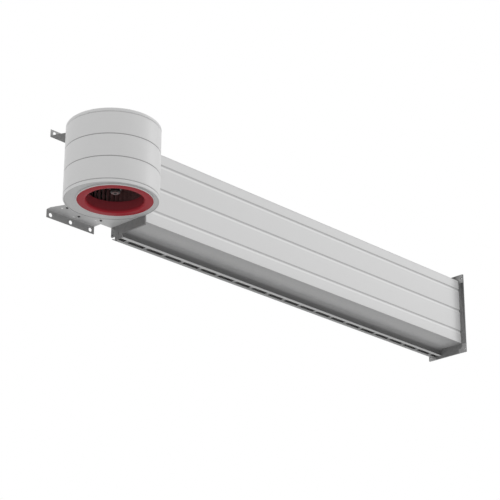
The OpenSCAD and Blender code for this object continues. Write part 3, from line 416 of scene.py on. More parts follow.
# The fan's sheet and hub are dark, and their red tint is painted reflection of the red inlet ring.
fan_sheet = finish("fan_sheet", (0.21, 0.10, 0.10), (0.33, 0.18, 0.18), metal=0.4, gloss=0.4,
                   spangled=110.0, bump=0.1, worn=(0.42, 0.30, 0.29), worn_amount=0.3)
hub_steel = finish("hub_steel", (0.09, 0.05, 0.05), (0.125, 0.07, 0.07), metal=0.4, gloss=0.4,
                   scale=120.0, bump=0.08, worn=(0.30, 0.20, 0.20), worn_amount=0.5)
zinc_steel = finish("zinc_plated_steel", grey(170), grey(196), metal=0.7, gloss=0.35,
                    scale=120.0, bump=0.08, worn=grey(215), worn_amount=0.5)
bright_steel = finish("turned_steel", grey(178), grey(196), metal=1.0, gloss=0.22,
                      scale=140.0, bump=0.04)
black_steel = finish("blackened_steel", grey(40), grey(60), metal=0.5, gloss=0.45,
                     scale=120.0, bump=0.1, worn=grey(100), worn_amount=0.4)
motor_paint = finish("motor_paint", grey(96), grey(112), gloss=0.5, scale=90.0, bump=0.25,
                     worn=grey(140), worn_amount=0.4, dusty=0.5)
core_steel = finish("core_plates", grey(92), grey(124), metal=0.6, gloss=0.5, scale=300.0,
                    bump=0.3)
grey_plastic = finish("grey_plastic", grey(176), grey(186), gloss=0.5, scale=300.0, bump=0.15,
                      worn=grey(200), worn_amount=0.3, dusty=0.4)
black_plastic = finish("black_plastic", grey(34), grey(44), gloss=0.45, scale=220.0, bump=0.15)
print(len(bpy.data.materials), "materials")

# %% [markdown]
# The CAD model also has the pieces that are hardly ever seen: motor, shaft,
# bearings, posts and screws. Their shapes are right as they are, so they stay
# and only get a finish. Each could be dressed by name, but the record already
# says what every piece is made of, and a table turns that into a finish. Only
# the nozzle's end plate differs: it gets the same painted shade as the flanges
# beside it, a darker copy of the zinc.

# %% Every CAD node gets its finish through the record's slot
slot_finish = {
    "white_paint": white_paint, "red_paint": red_paint, "galvanised_sheet": galvanised,
    "fan_sheet": fan_sheet, "zinc_steel": zinc_steel, "bright_steel": bright_steel,
    "dark_steel": black_steel, "motor_casting": motor_paint, "core_steel": core_steel,
    "grey_plastic": grey_plastic, "black_plastic": black_plastic,
}
for part in frame["record"]["subparts"]:
    mesh = frame["nodes"][part["node"]].data
    mesh.materials.clear()
    mesh.materials.append(slot_finish[part["material_slot"]])
frame["nodes"]["nozzle_end_plate"].data.materials[0] = shaded_zinc
print(len(frame["nodes"]), "CAD nodes dressed")

# %% [markdown]
# From here on, each visible piece of sheet metal is drawn again with the
# rounded bends and broken edges that a CAD solid leaves out. Most shapes are
# a section turned about an axis or drawn along X, and all are worked out in
# millimetres from the drum's own axis and lower rim: X runs along the duct, Y
# to the wall and Z up. Bevel modifiers could round a plain box, but a section
# keeps each bend where the sheet really bends and gives clean, even faces.

# %% Sections, and grids drawn from them
def grid_faces(rows, cols, wrap_rows=False, wrap_cols=True):
    """Quads between neighbours of a grid numbered row by row; a wrap joins last to first."""
    r, c = np.meshgrid(np.arange(rows - (not wrap_rows)), np.arange(cols - (not wrap_cols)),
                       indexing="ij")
    r1, c1 = (r + 1) % rows, (c + 1) % cols
    return np.stack([r * cols + c, r * cols + c1, r1 * cols + c1, r1 * cols + c],
                    -1).reshape(-1, 4)


def soften(corners, cut=1.0, steps=3):
    """A closed outline whose corner p becomes (1-t)^2 a + 2t(1-t) p + t^2 b, with a and b
    lying cut away from p on its two sides, at most 0.45 of the side's length."""
    p = np.asarray(corners, float)
    cut = np.broadcast_to(np.asarray(cut, float).reshape(-1, 1), (len(p), 1))
    back, on = np.roll(p, 1, 0) - p, np.roll(p, -1, 0) - p
    len_back, len_on = (np.linalg.norm(v, axis=1, keepdims=True) for v in (back, on))
    a = p + back / len_back * np.minimum(cut, 0.45 * len_back)
    b = p + on / len_on * np.minimum(cut, 0.45 * len_on)
    t = np.linspace(0, 1, steps)[None, :, None]
    curve = (1 - t) ** 2 * a[:, None] + 2 * t * (1 - t) * p[:, None] + t ** 2 * b[:, None]
    return curve.reshape(-1, 2)


def rectangle(u0, u1, v0, v1, cut=1.5, steps=4):
    """A softened rectangle from (u0, v0) to (u1, v1)."""
    return soften([(u0, v0), (u1, v0), (u1, v1), (u0, v1)], cut, steps)


def turned(profile, centre=(0.0, 0.0), turn=(0.0, 360.0), steps=144):
    """Points (cx + r cos a, cy + r sin a, z) of a closed (r, z) profile at even angles a.
    A part turn is closed by flat ends."""
    r, z = np.asarray(profile, float).T
    full = turn[1] - turn[0] >= 360
    a = np.radians(np.linspace(*turn, steps, endpoint=not full))[:, None]
    points = np.stack(np.broadcast_arrays(centre[0] + r * np.cos(a), centre[1] + r * np.sin(a),
                                          z + 0 * a), -1).reshape(-1, 3)
    faces = [grid_faces(len(a), len(r), wrap_rows=full)]
    if not full:
        end = np.arange(len(r))[None]
        faces += [end, end + len(points) - len(r)]
    return points, faces


def drawn(profile, x0, x1, cuts=1):
    """Points (x, y, z) of a closed (y, z) profile drawn along X and closed by flat ends."""
    y, z = np.asarray(profile, float).T
    x = np.linspace(x0, x1, cuts + 1)[:, None]
    points = np.stack(np.broadcast_arrays(x, y + 0 * x, z + 0 * x), -1).reshape(-1, 3)
    end = np.arange(len(y))[None]
    return points, [grid_faces(cuts + 1, len(y)), end, end + len(points) - len(y)]


def gather(*shapes):
    """Several shapes as one: points in a row, face numbers moved up to match."""
    starts = np.cumsum([0] + [len(points) for points, _ in shapes])
    return (np.concatenate([points for points, _ in shapes]),
            [block + start for (_, faces), start in zip(shapes, starts) for block in faces])


def lay(shape, origin, u, v, w):
    """The shape with its (u, v, w) turned to three directions and moved to an origin."""
    points, faces = shape
    return points @ np.array([u, v, w], float) + np.asarray(origin, float), faces


print("section helpers ready")

# %% [markdown]
# Every shape becomes a piece in the same way. Its points go over to metres in
# the CAD model's frame, points that fall together are merged, faces turn
# outwards, and edges sharper than an angle stay sharp. A modifier could split
# those edges too, but marks in the mesh need nothing applied. The frame
# starts at the middle wall hole, by which the machine hangs.

# %% From a shape to a piece
mid_x, wall_y, hole_z, merge_m = 11.0, 368.0, -20.0, 2e-6
frame_origin = np.array((mid_x, wall_y, hole_z))


def make(name, shape, material, slot, *nodes, body="housing", tone=None, sharp=32):
    """A Blender piece from a shape; it rides on a body and stands for the CAD nodes. Points
    that fall together, as on an axis, become one. Tone is a function of x, y and z."""
    points, faces = shape
    mesh = bpy.data.meshes.new(name)
    mesh.from_pydata(((points - frame_origin) / 1000).tolist(), [],
                     [face for block in faces for face in block.tolist()])
    work = bmesh.new()
    work.from_mesh(mesh)
    bmesh.ops.remove_doubles(work, verts=work.verts, dist=merge_m)
    bmesh.ops.recalc_face_normals(work, faces=work.faces)
    work.to_mesh(mesh)
    work.free()
    mesh.shade_smooth()
    mesh.set_sharp_from_angle(angle=math.radians(sharp))
    mesh.materials.append(material)
    if tone is not None:
        where = np.empty(len(mesh.vertices) * 3)
        mesh.vertices.foreach_get("co", where)
        value = tone(*(where.reshape(-1, 3) * 1000 + frame_origin).T)
        mesh.attributes.new("tone", "FLOAT", "POINT").data.foreach_set(
            "value", np.broadcast_to(value, len(mesh.vertices)).astype(np.float32))
    piece = bpy.data.objects.new(name, mesh)
    bpy.context.scene.collection.objects.link(piece)
    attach(piece, body)
    if nodes:
        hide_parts(*nodes)
    print(f"{name}: {len(mesh.polygons)} faces")
    return piece


print("frame origin", frame_origin, "mm from the drum's axis")

# %% [markdown]
# The drum is rolled from three bands of painted sheet between two rims. Where
# two bands meet, both dip inwards by a few millimetres and turn a narrow
# flange into the drum. The dip is drawn 1.5 mm deeper than in the CAD model,
# with a little painted shade in it, so that the seam shows from across a room.
# The wall is open where the air leaves for the duct, so the bands are part
# turns and only the rims are whole rings.

# %% Drum bands
drum_r, rim_h, band_h, sheet = 275.0, 20.0, 138.0, 2.0
seam_in, seam_half, seam_flange, painted_seam_shade_h = 4.5, 4.0, 12.0, 3.5
duct_x0, panel_y = 275.0, 23.0
drum_h = 2 * rim_h + 3 * band_h
outlet_angle = math.degrees(math.asin(panel_y / drum_r))


def band_outline(z0, z1):
    """The band's sheet in section: flange, dip, wall, dip, flange, and back inside."""
    foot, dip, half = drum_r - seam_flange, drum_r - seam_in, sheet / 2
    outer = [(foot, z0), (dip, z0), (drum_r, z0 + seam_half), (drum_r, z1 - seam_half),
             (dip, z1), (foot, z1)]
    inner = [(foot, z1 - sheet), (dip - half, z1 - sheet),
             (drum_r - sheet, z1 - seam_half - half), (drum_r - sheet, z0 + seam_half + half),
             (dip - half, z0 + sheet), (foot, z0 + sheet)]
    return soften(outer + inner, [0.4, 0.9, 2.2, 2.2, 0.9, 0.4] + [0.4, 1, 1, 1, 1, 0.4], 4)


def painted_seam_shade(z0, z1):
    """Painted shade in the seam dips: tone that is 1 at both ends of a band and falls evenly to 0
    over 3.5 mm.
    """
    return lambda x, y, z: np.clip(1 - np.minimum(abs(z - z0), abs(z - z1)) / painted_seam_shade_h, 0, 1)


for step, label in enumerate(("lower", "middle", "upper")):
    z0 = rim_h + step * band_h
    z1 = z0 + band_h
    make(f"{label}_band",
         turned(band_outline(z0, z1), turn=(90, 360 + outlet_angle), steps=184), white_paint,
         "white_paint", f"drum_{label}_band", tone=painted_seam_shade(z0, z1))

# %% [markdown]
# A rim is a whole ring, so its section goes all the way round. Its outer edge
# is rolled to a radius of 6 mm, which stiffens it and leaves no sharp edge.
# The top rim is the same section turned over. A Bevel modifier could round
# the edge, but it would round the dip and the flange as well.

# %% Drum rims
rim_round, rim_lip, lip_shade = 6.0, 9.0, 0.8


def rim_outline():
    """A rim in section: flat lip, quarter-round edge of radius 6, wall, dip and flange."""
    lip, bend, half = drum_r - rim_lip, drum_r - rim_round, sheet / 2
    foot, dip = drum_r - seam_flange, drum_r - seam_in
    a = np.radians(np.linspace(0, 90, 9))[:, None]
    outer = np.hstack([bend + rim_round * np.sin(a), rim_round - rim_round * np.cos(a)])
    inner = np.hstack([bend + (rim_round - sheet) * np.sin(a[::-1]),
                       rim_round - (rim_round - sheet) * np.cos(a[::-1])])
    top = soften([(drum_r, rim_h - seam_half), (dip, rim_h), (foot, rim_h),
                  (foot, rim_h - sheet), (dip - half, rim_h - sheet),
                  (drum_r - sheet, rim_h - seam_half - half)], 0.9, 3)[1:-1]
    return np.vstack([[(lip, 0.3)], [(lip + 0.3, 0)], outer, top, inner, [(lip, sheet)]])


def lip_tone(x, y, z):
    """Shade on the flat lip, which ends where the rounded edge begins."""
    return lip_shade * (np.hypot(x, y) < drum_r - rim_round + 0.5) * (z < 2 * sheet)


make("bottom_rim", turned(rim_outline(), steps=240), white_paint, "white_paint",
     "drum_bottom_rim", tone=lip_tone)
make("top_rim", turned(rim_outline() * (1, -1) + (0, drum_h), steps=240), white_paint,
     "white_paint", "drum_top_rim")

# %% [markdown]
# The red inlet ring has a flat lip a little below the drum, a tight bend, and
# a straight throat that reaches up into the fan's front ring, so that air
# can't slip back round the fan. Such a ring is spun from one disc on a lathe,
# which is just what turning a profile about the fan's axis does. The throat
# has rows of points at several heights, because tone runs evenly from one row
# to the next, and the shade deepens as the throat goes in.

# %% Inlet ring
fan_axis = (0.0, -32.0)
inlet_r, inlet_drop, ring_flange = 218.0, 8.0, 7.0
throat_r, bell_round, throat_end, broken_edge = 165.0, 12.0, 60.0, 0.4
throat_rows = (8.0, 14.0, 22.0, 32.0, 44.0, throat_end - broken_edge)


def bell_outline():
    """Rolled outer edge, flat lip, a bend c + R (-sin t, -cos t) with R = 12, the straight
    throat, and the same again one sheet thickness further into the drum."""
    c = np.array([throat_r + bell_round, bell_round - inlet_drop])
    t = np.radians(np.linspace(0, 90, 15))[:, None]
    way = np.hstack([-np.sin(t), -np.cos(t)])
    q = np.radians(np.linspace(0, 90, 6))[:, None]
    rolled = np.hstack([inlet_r - sheet + sheet * np.cos(q),
                        sheet - inlet_drop - sheet * np.sin(q)])
    return np.vstack([[(inlet_r, sheet)], rolled, c + bell_round * way,
                      [(throat_r, z) for z in throat_rows],
                      [(throat_r + broken_edge, throat_end), (throat_r + sheet, throat_end)],
                      (c + (bell_round - sheet) * way)[::-1],
                      [(inlet_r - sheet, sheet - inlet_drop), (inlet_r - sheet, 0),
                       (inlet_r - ring_flange, 0), (inlet_r - ring_flange, sheet)]])


def throat_tone(x, y, z):
    """No shade on the lip, rising from z = -7 to its full amount at z = 15."""
    return 0.95 * np.clip((z + 7) / 22, 0, 1)


make("red_inlet_bell", turned(bell_outline(), fan_axis, steps=220), red_paint, "red_paint",
     "inlet_ring", tone=throat_tone)

# %% [markdown]
# Some sheets are cut flat, with holes in them, and two of those are folded
# afterwards. A Boolean modifier could cut the holes, but it leaves thin
# slivers of face. Here the outline and the holes go to one triangulation, and
# the triangles that lie inside the outline and outside every hole are kept.
# Two such faces with walls between them are the plate.

# %% Flat plates with holes
def circle(x, y, r, steps=40):
    """Points (x + r cos a, y + r sin a) at even angles."""
    a = np.linspace(0, 2 * np.pi, steps, endpoint=False)[:, None]
    return np.hstack([x + r * np.cos(a), y + r * np.sin(a)])


def inset(loop, distance):
    """Each point moved to its left by distance, along the mitre of its two sides."""
    on = np.roll(loop, -1, 0) - loop
    on = on / np.linalg.norm(on, axis=1, keepdims=True)
    left = np.stack([-on[:, 1], on[:, 0]], -1)
    both = left + np.roll(left, 1, 0)
    return loop + distance * 2 * both / np.maximum((both ** 2).sum(1, keepdims=True), 0.4)


def holds(loop, points):
    """True for each point inside the loop: a ray from it crosses the outline an odd number
    of times."""
    x, y = points[:, :1], points[:, 1:]
    (x0, y0), (x1, y1) = loop.T, np.roll(loop, -1, 0).T
    rise = np.where(y1 == y0, 1, y1 - y0)
    crosses = ((y0 > y) != (y1 > y)) & (x < (x1 - x0) * (y - y0) / rise + x0)
    return crosses.sum(1) % 2 == 1


def plate(outline, holes=(), thickness=sheet, cut=broken_edge, ties=()):
    """A flat plate as (u, v, w) points: two faces at w = 0 and w = thickness, cut back along
    every rim, and straight walls between them. Ties join pairs of outline points by lines
    across the faces, where the plate is bent later."""
    loops = [np.asarray(outline, float)] + [np.asarray(h, float) for h in holes]
    area = [(p[:, 0] * np.roll(p[:, 1], -1) - np.roll(p[:, 0], -1) * p[:, 1]).sum()
            for p in loops]
    if area[0] < 0:
        ties = [(len(loops[0]) - 1 - i, len(loops[0]) - 1 - j) for i, j in ties]
    loops = [p if (a > 0) == (k == 0) else p[::-1] for k, (p, a) in enumerate(zip(loops, area))]
    flat, wall = np.concatenate([inset(p, cut) for p in loops]), np.concatenate(loops)
    starts = np.cumsum([0] + [len(p) for p in loops])
    rims = [np.arange(a, b) for a, b in zip(starts, starts[1:])]
    edges = np.concatenate([np.stack([r, np.roll(r, -1)], -1) for r in rims]
                           + ([np.asarray(ties, int)] if len(ties) else []))
    found = delaunay_2d_cdt([Vector(p) for p in flat.tolist()], edges.tolist(), [], 1, 1e-5)
    own_number = np.array([same[0] for same in found[3]])
    triangles = own_number[np.array(found[2])]
    middle = flat[triangles].mean(1)
    keep = holds(flat[rims[0]], middle)
    for rim in rims[1:]:
        keep &= ~holds(flat[rim], middle)
    triangles, n = triangles[keep], len(wall)
    levels = [(flat, 0.0), (wall, cut), (wall, thickness - cut), (flat, thickness)]
    points = np.concatenate([np.column_stack([p, np.full(n, w)]) for p, w in levels])
    sides = [np.stack([r + k * n, np.roll(r, -1) + k * n, np.roll(r, -1) + (k + 1) * n,
                       r + (k + 1) * n], -1) for r in rims for k in range(3)]
    return points, [triangles[:, ::-1], triangles + 3 * n] + sides


flat_up = ((1, 0, 0), (0, 1, 0), (0, 0, 1))
print("plate helpers ready")

# %% [markdown]
# The drum's floor is one ring of zinc-coated sheet, and a collar of the same
# sheet hangs from it round the red ring. The ring is a plate with a round
# window, and the collar is a small turned section joined to it. The collar
# catches the light in the photograph, so its tone is a light one.

# %% Ring plate and its collar
fit_gap, overlap = 0.3, 6.0
collar_r = inlet_r + fit_gap
floor_ring = plate(circle(0, 0, drum_r - overlap, 200), [circle(*fan_axis, inlet_r - overlap, 180)])
collar = turned(rectangle(collar_r, collar_r + sheet, -inlet_drop, sheet + 1, 0.6, 3), fan_axis,
                steps=220)


def collar_tone(x, y, z):
    """Close to the plain zinc on the plate, and far lighter from z = 1 down to z = -5."""
    return -0.04 - 0.76 * np.clip((1 - z) / 6, 0, 1)


make("ring_plate", gather(lay(floor_ring, (0, 0, sheet), *flat_up), collar), toned_zinc,
     "galvanised_sheet", "bottom_ring_plate", tone=collar_tone)

# %% [markdown]
# The base plate and the upper wall bracket are cut flat and then folded on a
# press brake, so here too the flat blank comes first. The blank is cut with
# all its holes, and one formula rolls everything past the fold line round a
# small inner radius. A fold made like this keeps the sheet's thickness and
# puts the wall holes where the flat pattern says.

# %% The fold
fold_in, plate_t = 2.0, 3.0
fold_len = (fold_in + plate_t / 2) * np.pi / 2


def folded(shape, start):
    """Turns the points beyond u = start round an axis under the plate: with s = u - start and
    f = s / (r + t/2) up to 90 degrees, u = start + (r + w) sin f and w = (r + w) cos f - r;
    whatever lies beyond the bend runs straight down."""
    points, faces = shape
    u, v, w = points.T
    s = u - start
    f = np.clip(s / (fold_in + plate_t / 2), 0, np.pi / 2)
    past = np.maximum(s - fold_len, 0)
    bent = np.stack([start + (fold_in + w) * np.sin(f), v,
                     (fold_in + w) * np.cos(f) - fold_in - past], -1)
    return np.where((s > 0)[:, None], bent, points), faces


print("a right-angled fold takes", round(fold_len, 2), "mm of sheet")

# %% [markdown]
# Both plates widen from a narrow part at the drum to the same wall flange
# with three holes. So the edges of that flange are worked out once, with a
# row of points at each step of the fold. Lines tie each pair of these points
# across the sheet, because a triangle that crossed the fold unevenly would
# crease it.

# %% The shared edges, as (y, x) points of the blank
half_w, taper, narrow_y, wide_y = 180.0, 32.0, 251.0, 330.0
flange_h, hole_drop, hole_r, hole_step = 51.0, 30.0, 12.0, 150.0
left_x, right_x = mid_x - half_w, mid_x + half_w
fold_y = wall_y - fold_in - plate_t
top_y = fold_y + fold_len - fold_in - plate_t
blank_end, hole_y = top_y + flange_h, top_y + hole_drop
fold_rows = fold_y + fold_len * np.linspace(0, 1, 7)
left_edge = [(narrow_y, left_x + taper), (wide_y, left_x)] \
    + [(y, left_x) for y in (*fold_rows, blank_end)]
right_edge = [(y, right_x) for y in (blank_end, *fold_rows[::-1])]
wall_cuts = [circle(hole_y, mid_x + k * hole_step, hole_r) for k in (-1, 0, 1)]


def fold_ties(first):
    """Pairs the fold rows of the left edge with those of the right. The left edge starts at
    point number first, and its fold rows two points later."""
    n = len(fold_rows)
    return [(first + 2 + k, first + 3 + 2 * n - k) for k in range(n)]


print("wall holes", hole_step, "mm apart")

# %% [markdown]
# The base plate carries the drum. It is round under it, opens round the red
# ring, and has a notch beside the duct's flange. Three screws hold it to the
# drum, and a larger tooling hole lies near each. The outline could be cut
# from a disc and a rectangle with Booleans, but as one row of points it stays
# readable.

# %% Base plate
disc_r, disc_turn, base_z, flange_rear = 263.0, 238.61, 7.0, 308.0
screw_at = [(-101.0, 265.0), (27.0, 312.0), (155.0, 265.0)]
screw_hole_r, tooling_r, tooling_x, tooling_y, window_gap = 4.3, 6.0, -14.0, 29.0, 7.0
a = np.radians(np.linspace(0, -disc_turn, 150))
disc = list(zip(disc_r * np.sin(a), disc_r * np.cos(a)))
blank = disc + left_edge + right_edge + [(flange_rear, right_x), (flange_rear, duct_x0),
                                         (panel_y, duct_x0)]
base_cuts = [circle(fan_axis[1], fan_axis[0], inlet_r + window_gap, 160)] \
    + [circle(y, x, screw_hole_r, 20) for x, y in screw_at] \
    + [circle(y + tooling_y, x + tooling_x, tooling_r, 24) for x, y in screw_at]
base_shape = folded(plate(blank, base_cuts + wall_cuts, plate_t, ties=fold_ties(len(disc))),
                    fold_y)
across = ((0, 1, 0), (1, 0, 0))


def base_tone(x, y, z):
    """Shade down the wall flange. On the flat part a little shade on the left passes into a
    lighter right side."""
    down = 0.5 * np.clip((8.5 - z) / 4, 0, 1)
    along = np.interp(x, (-60, 90, 230), (0.06, -0.08, -0.28))
    return np.where((z < 8.5) & (y > 360), down, along)


make("folded_base_plate", lay(base_shape, (0, 0, base_z), *across, (0, 0, 1)), toned_zinc,
     "galvanised_sheet", "base_plate", tone=base_tone)

# %% [markdown]
# The upper bracket has the same wall flange, turned up instead of down, and
# two bolts hold it on the drum. It is the same kind of blank with a short
# straight front, laid upside down.

# %% Upper wall bracket
bracket_y, bracket_z, bolt_y, bolt_x = 180.0, 469.0, 200.0, 128.0
bracket = [(bracket_y, left_x + taper)] + left_edge + right_edge \
    + [(wide_y, right_x), (narrow_y, right_x - taper), (bracket_y, right_x - taper)]
bolt_cuts = [circle(bolt_y, mid_x + k * bolt_x, screw_hole_r, 20) for k in (-1, 1)]
bracket_shape = folded(plate(bracket, bolt_cuts + wall_cuts, plate_t, ties=fold_ties(1)), fold_y)


def bracket_tone(x, y, z):
    """Deep shade on the flat part and little on the flange that stands up from it."""
    return 0.9 - 0.8 * np.clip((z - 470) / 5, 0, 1)


make("folded_upper_bracket", lay(bracket_shape, (0, 0, bracket_z), *across, (0, 0, -1)),
     toned_zinc, "galvanised_sheet", "upper_wall_bracket", tone=bracket_tone)

# %% [markdown]
# The lid of the drum is pressed up in the middle, which stiffens it under the
# motor's weight, and its flat rim sits on the top rim of the drum. The roof
# over the neck is a flat piece beside it. Turning one stepped profile gives
# the lid, and the roof is cut like any flat plate.

# %% Top cover and the roof of the neck
lid_r, press_r0, press_r1, lid_rise = 269.0, 235.0, 247.0, 10.0
roof_r, roof_turn = 267.3, 4.95
lid_top = drum_h + lid_rise
lid = soften([(0, lid_top), (press_r0, lid_top), (press_r1, drum_h), (lid_r, drum_h),
              (lid_r, drum_h + sheet), (press_r1 + 1, drum_h + sheet),
              (press_r0 + 1, lid_top + sheet), (0, lid_top + sheet)],
             [0.01, 3, 3, 0.5, 0.5, 3, 3, 0.01], 4)
a = np.radians(np.linspace(roof_turn, 90, 60))
roof = list(zip(roof_r * np.cos(a), roof_r * np.sin(a))) \
    + [(0.0, drum_r), (duct_x0, drum_r), (duct_x0, panel_y)]
make("pressed_lid",
     gather(turned(lid, steps=200), lay(plate(roof), (0, 0, drum_h), *flat_up)),
     white_paint, "white_paint", "drum_top_cover")

# %% [markdown]
# Round-headed screws hold the lid's rim, at even steps round it. Balls sunk
# into the lid would be quicker, but a real head is flatter, so each is a
# small profile of its own turned about the screw's axis.

# %% Cover screws
cover_screw_r, cover_screw_count = 264.0, 8
pan = np.array([(0, 0), (5, 0), (4.6, 1), (3.4, 1.8), (1.4, 2), (0, 2)]) + (0, drum_h + sheet)
a = np.radians(360 / cover_screw_count * (np.arange(cover_screw_count) + 0.5))
places = cover_screw_r * np.column_stack([np.cos(a), np.sin(a)])
make("cover_screw_heads", gather(*[turned(pan, place, steps=24) for place in places]),
     zinc_steel, "zinc_steel", "cover_screws")

# %% [markdown]
# Both ends of the duct carry a thick flange, a flat frame by whose holes
# lengths of duct are bolted together. Each is a plate with a window cut in
# it, with the small broken edge that rolled steel has. Thin corner plates
# stiffen them. Such a frame could also be four bars, but one plate leaves no
# joint to show at its corners.

# %% Duct flanges
duct_x1, flange_t, rear_y, duct_z0, duct_h = 3275.0, 10.0, 275.0, -32.0, 464.0
duct_z1 = duct_z0 + duct_h
near_y0, near_z0, near_z1, near_window_z0 = 17.0, -53.0, 450.0, 20.0
far_y0, far_z0, far_z1 = -16.0, -99.0, 473.0
bolt_hole_r, side_hole_r, flange_cut = 6.5, 5.0, 0.9
hole_in_y, near_hole_in, far_hole_up, far_hole_down = 12.0, 11.0, 22.0, 28.0
neck_bolt_y, neck_bolt_z, neck_bolt_step = 291.5, 65.0, 110.0
inside_y0, inside_y1, inside_z1 = panel_y + sheet, rear_y - sheet, duct_z1 - sheet
upright = ((0, 1, 0), (0, 0, 1), (1, 0, 0))

near_cuts = [rectangle(inside_y0, inside_y1, near_window_z0, inside_z1)] \
    + [circle(flange_rear - hole_in_y, z, bolt_hole_r)
       for z in (near_z0 + near_hole_in, near_z1 - near_hole_in)] \
    + [circle(neck_bolt_y, neck_bolt_z + neck_bolt_step * k, screw_hole_r, 24)
       for k in range(4)]
near_frame = plate(rectangle(near_y0, flange_rear, near_z0, near_z1), near_cuts, flange_t,
                   flange_cut)
# Both flanges and their corner plates get the darker copy of the zinc, which is painted shade.
make("near_duct_flange", lay(near_frame, (duct_x0, 0, 0), *upright), shaded_zinc,
     "galvanised_sheet", "near_flange")

far_cuts = [rectangle(inside_y0, inside_y1, duct_z0 + sheet, inside_z1)] \
    + [circle(y, z, bolt_hole_r) for y in (far_y0 + hole_in_y, flange_rear - hole_in_y)
       for z in (far_z0 + far_hole_up, far_z1 - far_hole_down)] \
    + [circle(y, (far_z0 + far_z1) / 2, side_hole_r, 30)
       for y in (far_y0 + 2 * hole_in_y, flange_rear - 2 * hole_in_y)]
far_frame = plate(rectangle(far_y0, flange_rear, far_z0, far_z1), far_cuts, flange_t, flange_cut)
# Its tone paints shade over the far flange's part above the duct's roof.
make("far_duct_flange", lay(far_frame, (duct_x1 - flange_t, 0, 0), *upright), shaded_zinc,
     "galvanised_sheet", "far_flange", tone=lambda x, y, z: 0.9 * (z > inside_z1 + 1))

# %% [markdown]
# A thin L-shaped plate lies on each corner of the far flange, and one on the
# near flange's lower rear corner. One function gives them all, because only
# the inner edge, the hole's place and one leg's length differ: at the rear the
# edge runs clear of the duct's wall and the nozzle's lip, and the near plate's
# leg ends just under the base plate. Mirrored copies would be quicker to make,
# but they would cut into those three.

# %% Corner plates
corner_leg, corner_w, corner_slant, corner_t = 62.0, 29.0, 45.0, 2.0
plain = ((corner_leg, corner_w), (corner_slant, corner_w), (corner_w, corner_slant))
low_rear = ((62, 16.7), (32.7, 16.7), (32.7, 41.3), (29, 45))
high_rear = ((62, 29), (45, 29), (33, 41), (32.7, 41.3), (29, 45))


def corner(y, z, way_y, way_z, hole_in_z, inner=plain, leg=corner_leg):
    """An L-shaped plate from a flange's corner point inwards, 62 mm along Y and leg along Z,
    with one hole. Inner is the way its inner edge takes, clear of what stands there."""
    outline = [(0, 0), (corner_leg, 0), *inner, (corner_w, leg), (0, leg)]
    at = np.array([[y, z]])
    hole = at + circle(hole_in_y, hole_in_z, bolt_hole_r) * (way_y, way_z)
    return plate(at + soften(outline, 0.8, 3) * (way_y, way_z), [hole], corner_t)


def far_corner_tone(x, y, z):
    """Painted light makes them lighter than the flange, and painted shade darkens the upper plates
    towards the wall.
    """
    return np.where(z > 300, 0.85 * np.clip((y - 20) / 40, 0, 1) - 0.45, -0.5)


corners = [corner(far_y0, far_z0, 1, 1, far_hole_up),
           corner(far_y0, far_z1, 1, -1, far_hole_down),
           corner(flange_rear, far_z0, -1, 1, far_hole_up, low_rear),
           corner(flange_rear, far_z1, -1, -1, far_hole_down, high_rear)]
corner_x = duct_x1 - flange_t - corner_t
make("far_corner_stiffeners",
     gather(*[lay(shape, (corner_x, 0, 0), *upright) for shape in corners]), shaded_zinc,
     "galvanised_sheet", "far_corner_plates", tone=far_corner_tone)
near_corner = corner(flange_rear, near_z0, -1, 1, near_hole_in, leg=base_z - fit_gap - near_z0)
make("near_corner_stiffener", lay(near_corner, (duct_x0 - corner_t, 0, 0), *upright), shaded_zinc,
     "galvanised_sheet", "near_corner_plates")

# %% [markdown]
# The duct's front is one painted sheet with three pressed grooves along it.
# Each is a long gentle slope inwards that ends in a short ledge, so it throws
# a thin shadow. Bump could suggest such grooves, but they would vanish from
# the outline. Long sheet like this is folded from a strip, so a section drawn
# along X is the whole story.

# %% Front panel
sheet_x0, sheet_x1 = duct_x0 + flange_t, duct_x1 - flange_t
groove_z = (60.0, 214.0, 368.0)
groove_deep, slope_rows, ledge_top = 5.0, (-27, -22, -17, -12, -7, -2.5), 2.5
back_y, flange_y = panel_y + sheet, panel_y + 12.0
panel_z0, panel_z1 = duct_z0 + sheet, duct_z1 - sheet


def groove_line(y):
    """Points of each groove: down its slope, d = 5 (h + 27) / 24.5, and its ledge's top."""
    low, high = slope_rows[0], slope_rows[-1]
    way = [(groove_deep * (h - low) / (high - low), h) for h in slope_rows] + [(0, ledge_top)]
    return [(y + d, g + h) for g in groove_z for d, h in way]


def groove_tone(x, y, z):
    """Straight lines between given values of tone at given heights h over the nearest groove:
    painted shade in its corner, and painted light on the slope below."""
    h = z[:, None] - np.array(groove_z)
    h = np.take_along_axis(h, abs(h).argmin(1)[:, None], 1)[:, 0]
    return np.interp(h, (*slope_rows, 1.5, 3.6), (0, -0.5, -1.0, -0.6, 0.15, 0.42, 0.5, 0))


panel = [(flange_y, panel_z0), (panel_y, panel_z0)] + groove_line(panel_y) \
    + [(panel_y, panel_z1), (flange_y, panel_z1), (flange_y, panel_z1 - sheet),
       (back_y, panel_z1 - sheet)] + groove_line(back_y)[::-1] \
    + [(back_y, panel_z0 + sheet), (flange_y, panel_z0 + sheet)]
groove_cut = [8, 0.5, 0.5, 0.5, 0.5, 0.9, 1.2]
panel_cut = [0.4, 2.5] + groove_cut * 3 + [2.5, 0.4, 0.4, 1] + groove_cut[::-1] * 3 + [1, 0.4]
make("grooved_front_panel", drawn(soften(panel, panel_cut, 5), sheet_x0, sheet_x1), white_paint,
     "white_paint", "duct_front_panel", sharp=50, tone=groove_tone)

# %% [markdown]
# The lower side is zinc-coated sheet, bent down into the front wall of the
# nozzle. It is one section again, drawn along X, with a stub of its wall that
# runs on under the near flange. Extra points across its flat part let tone
# follow it, and cuts along its length keep its faces from being very long.

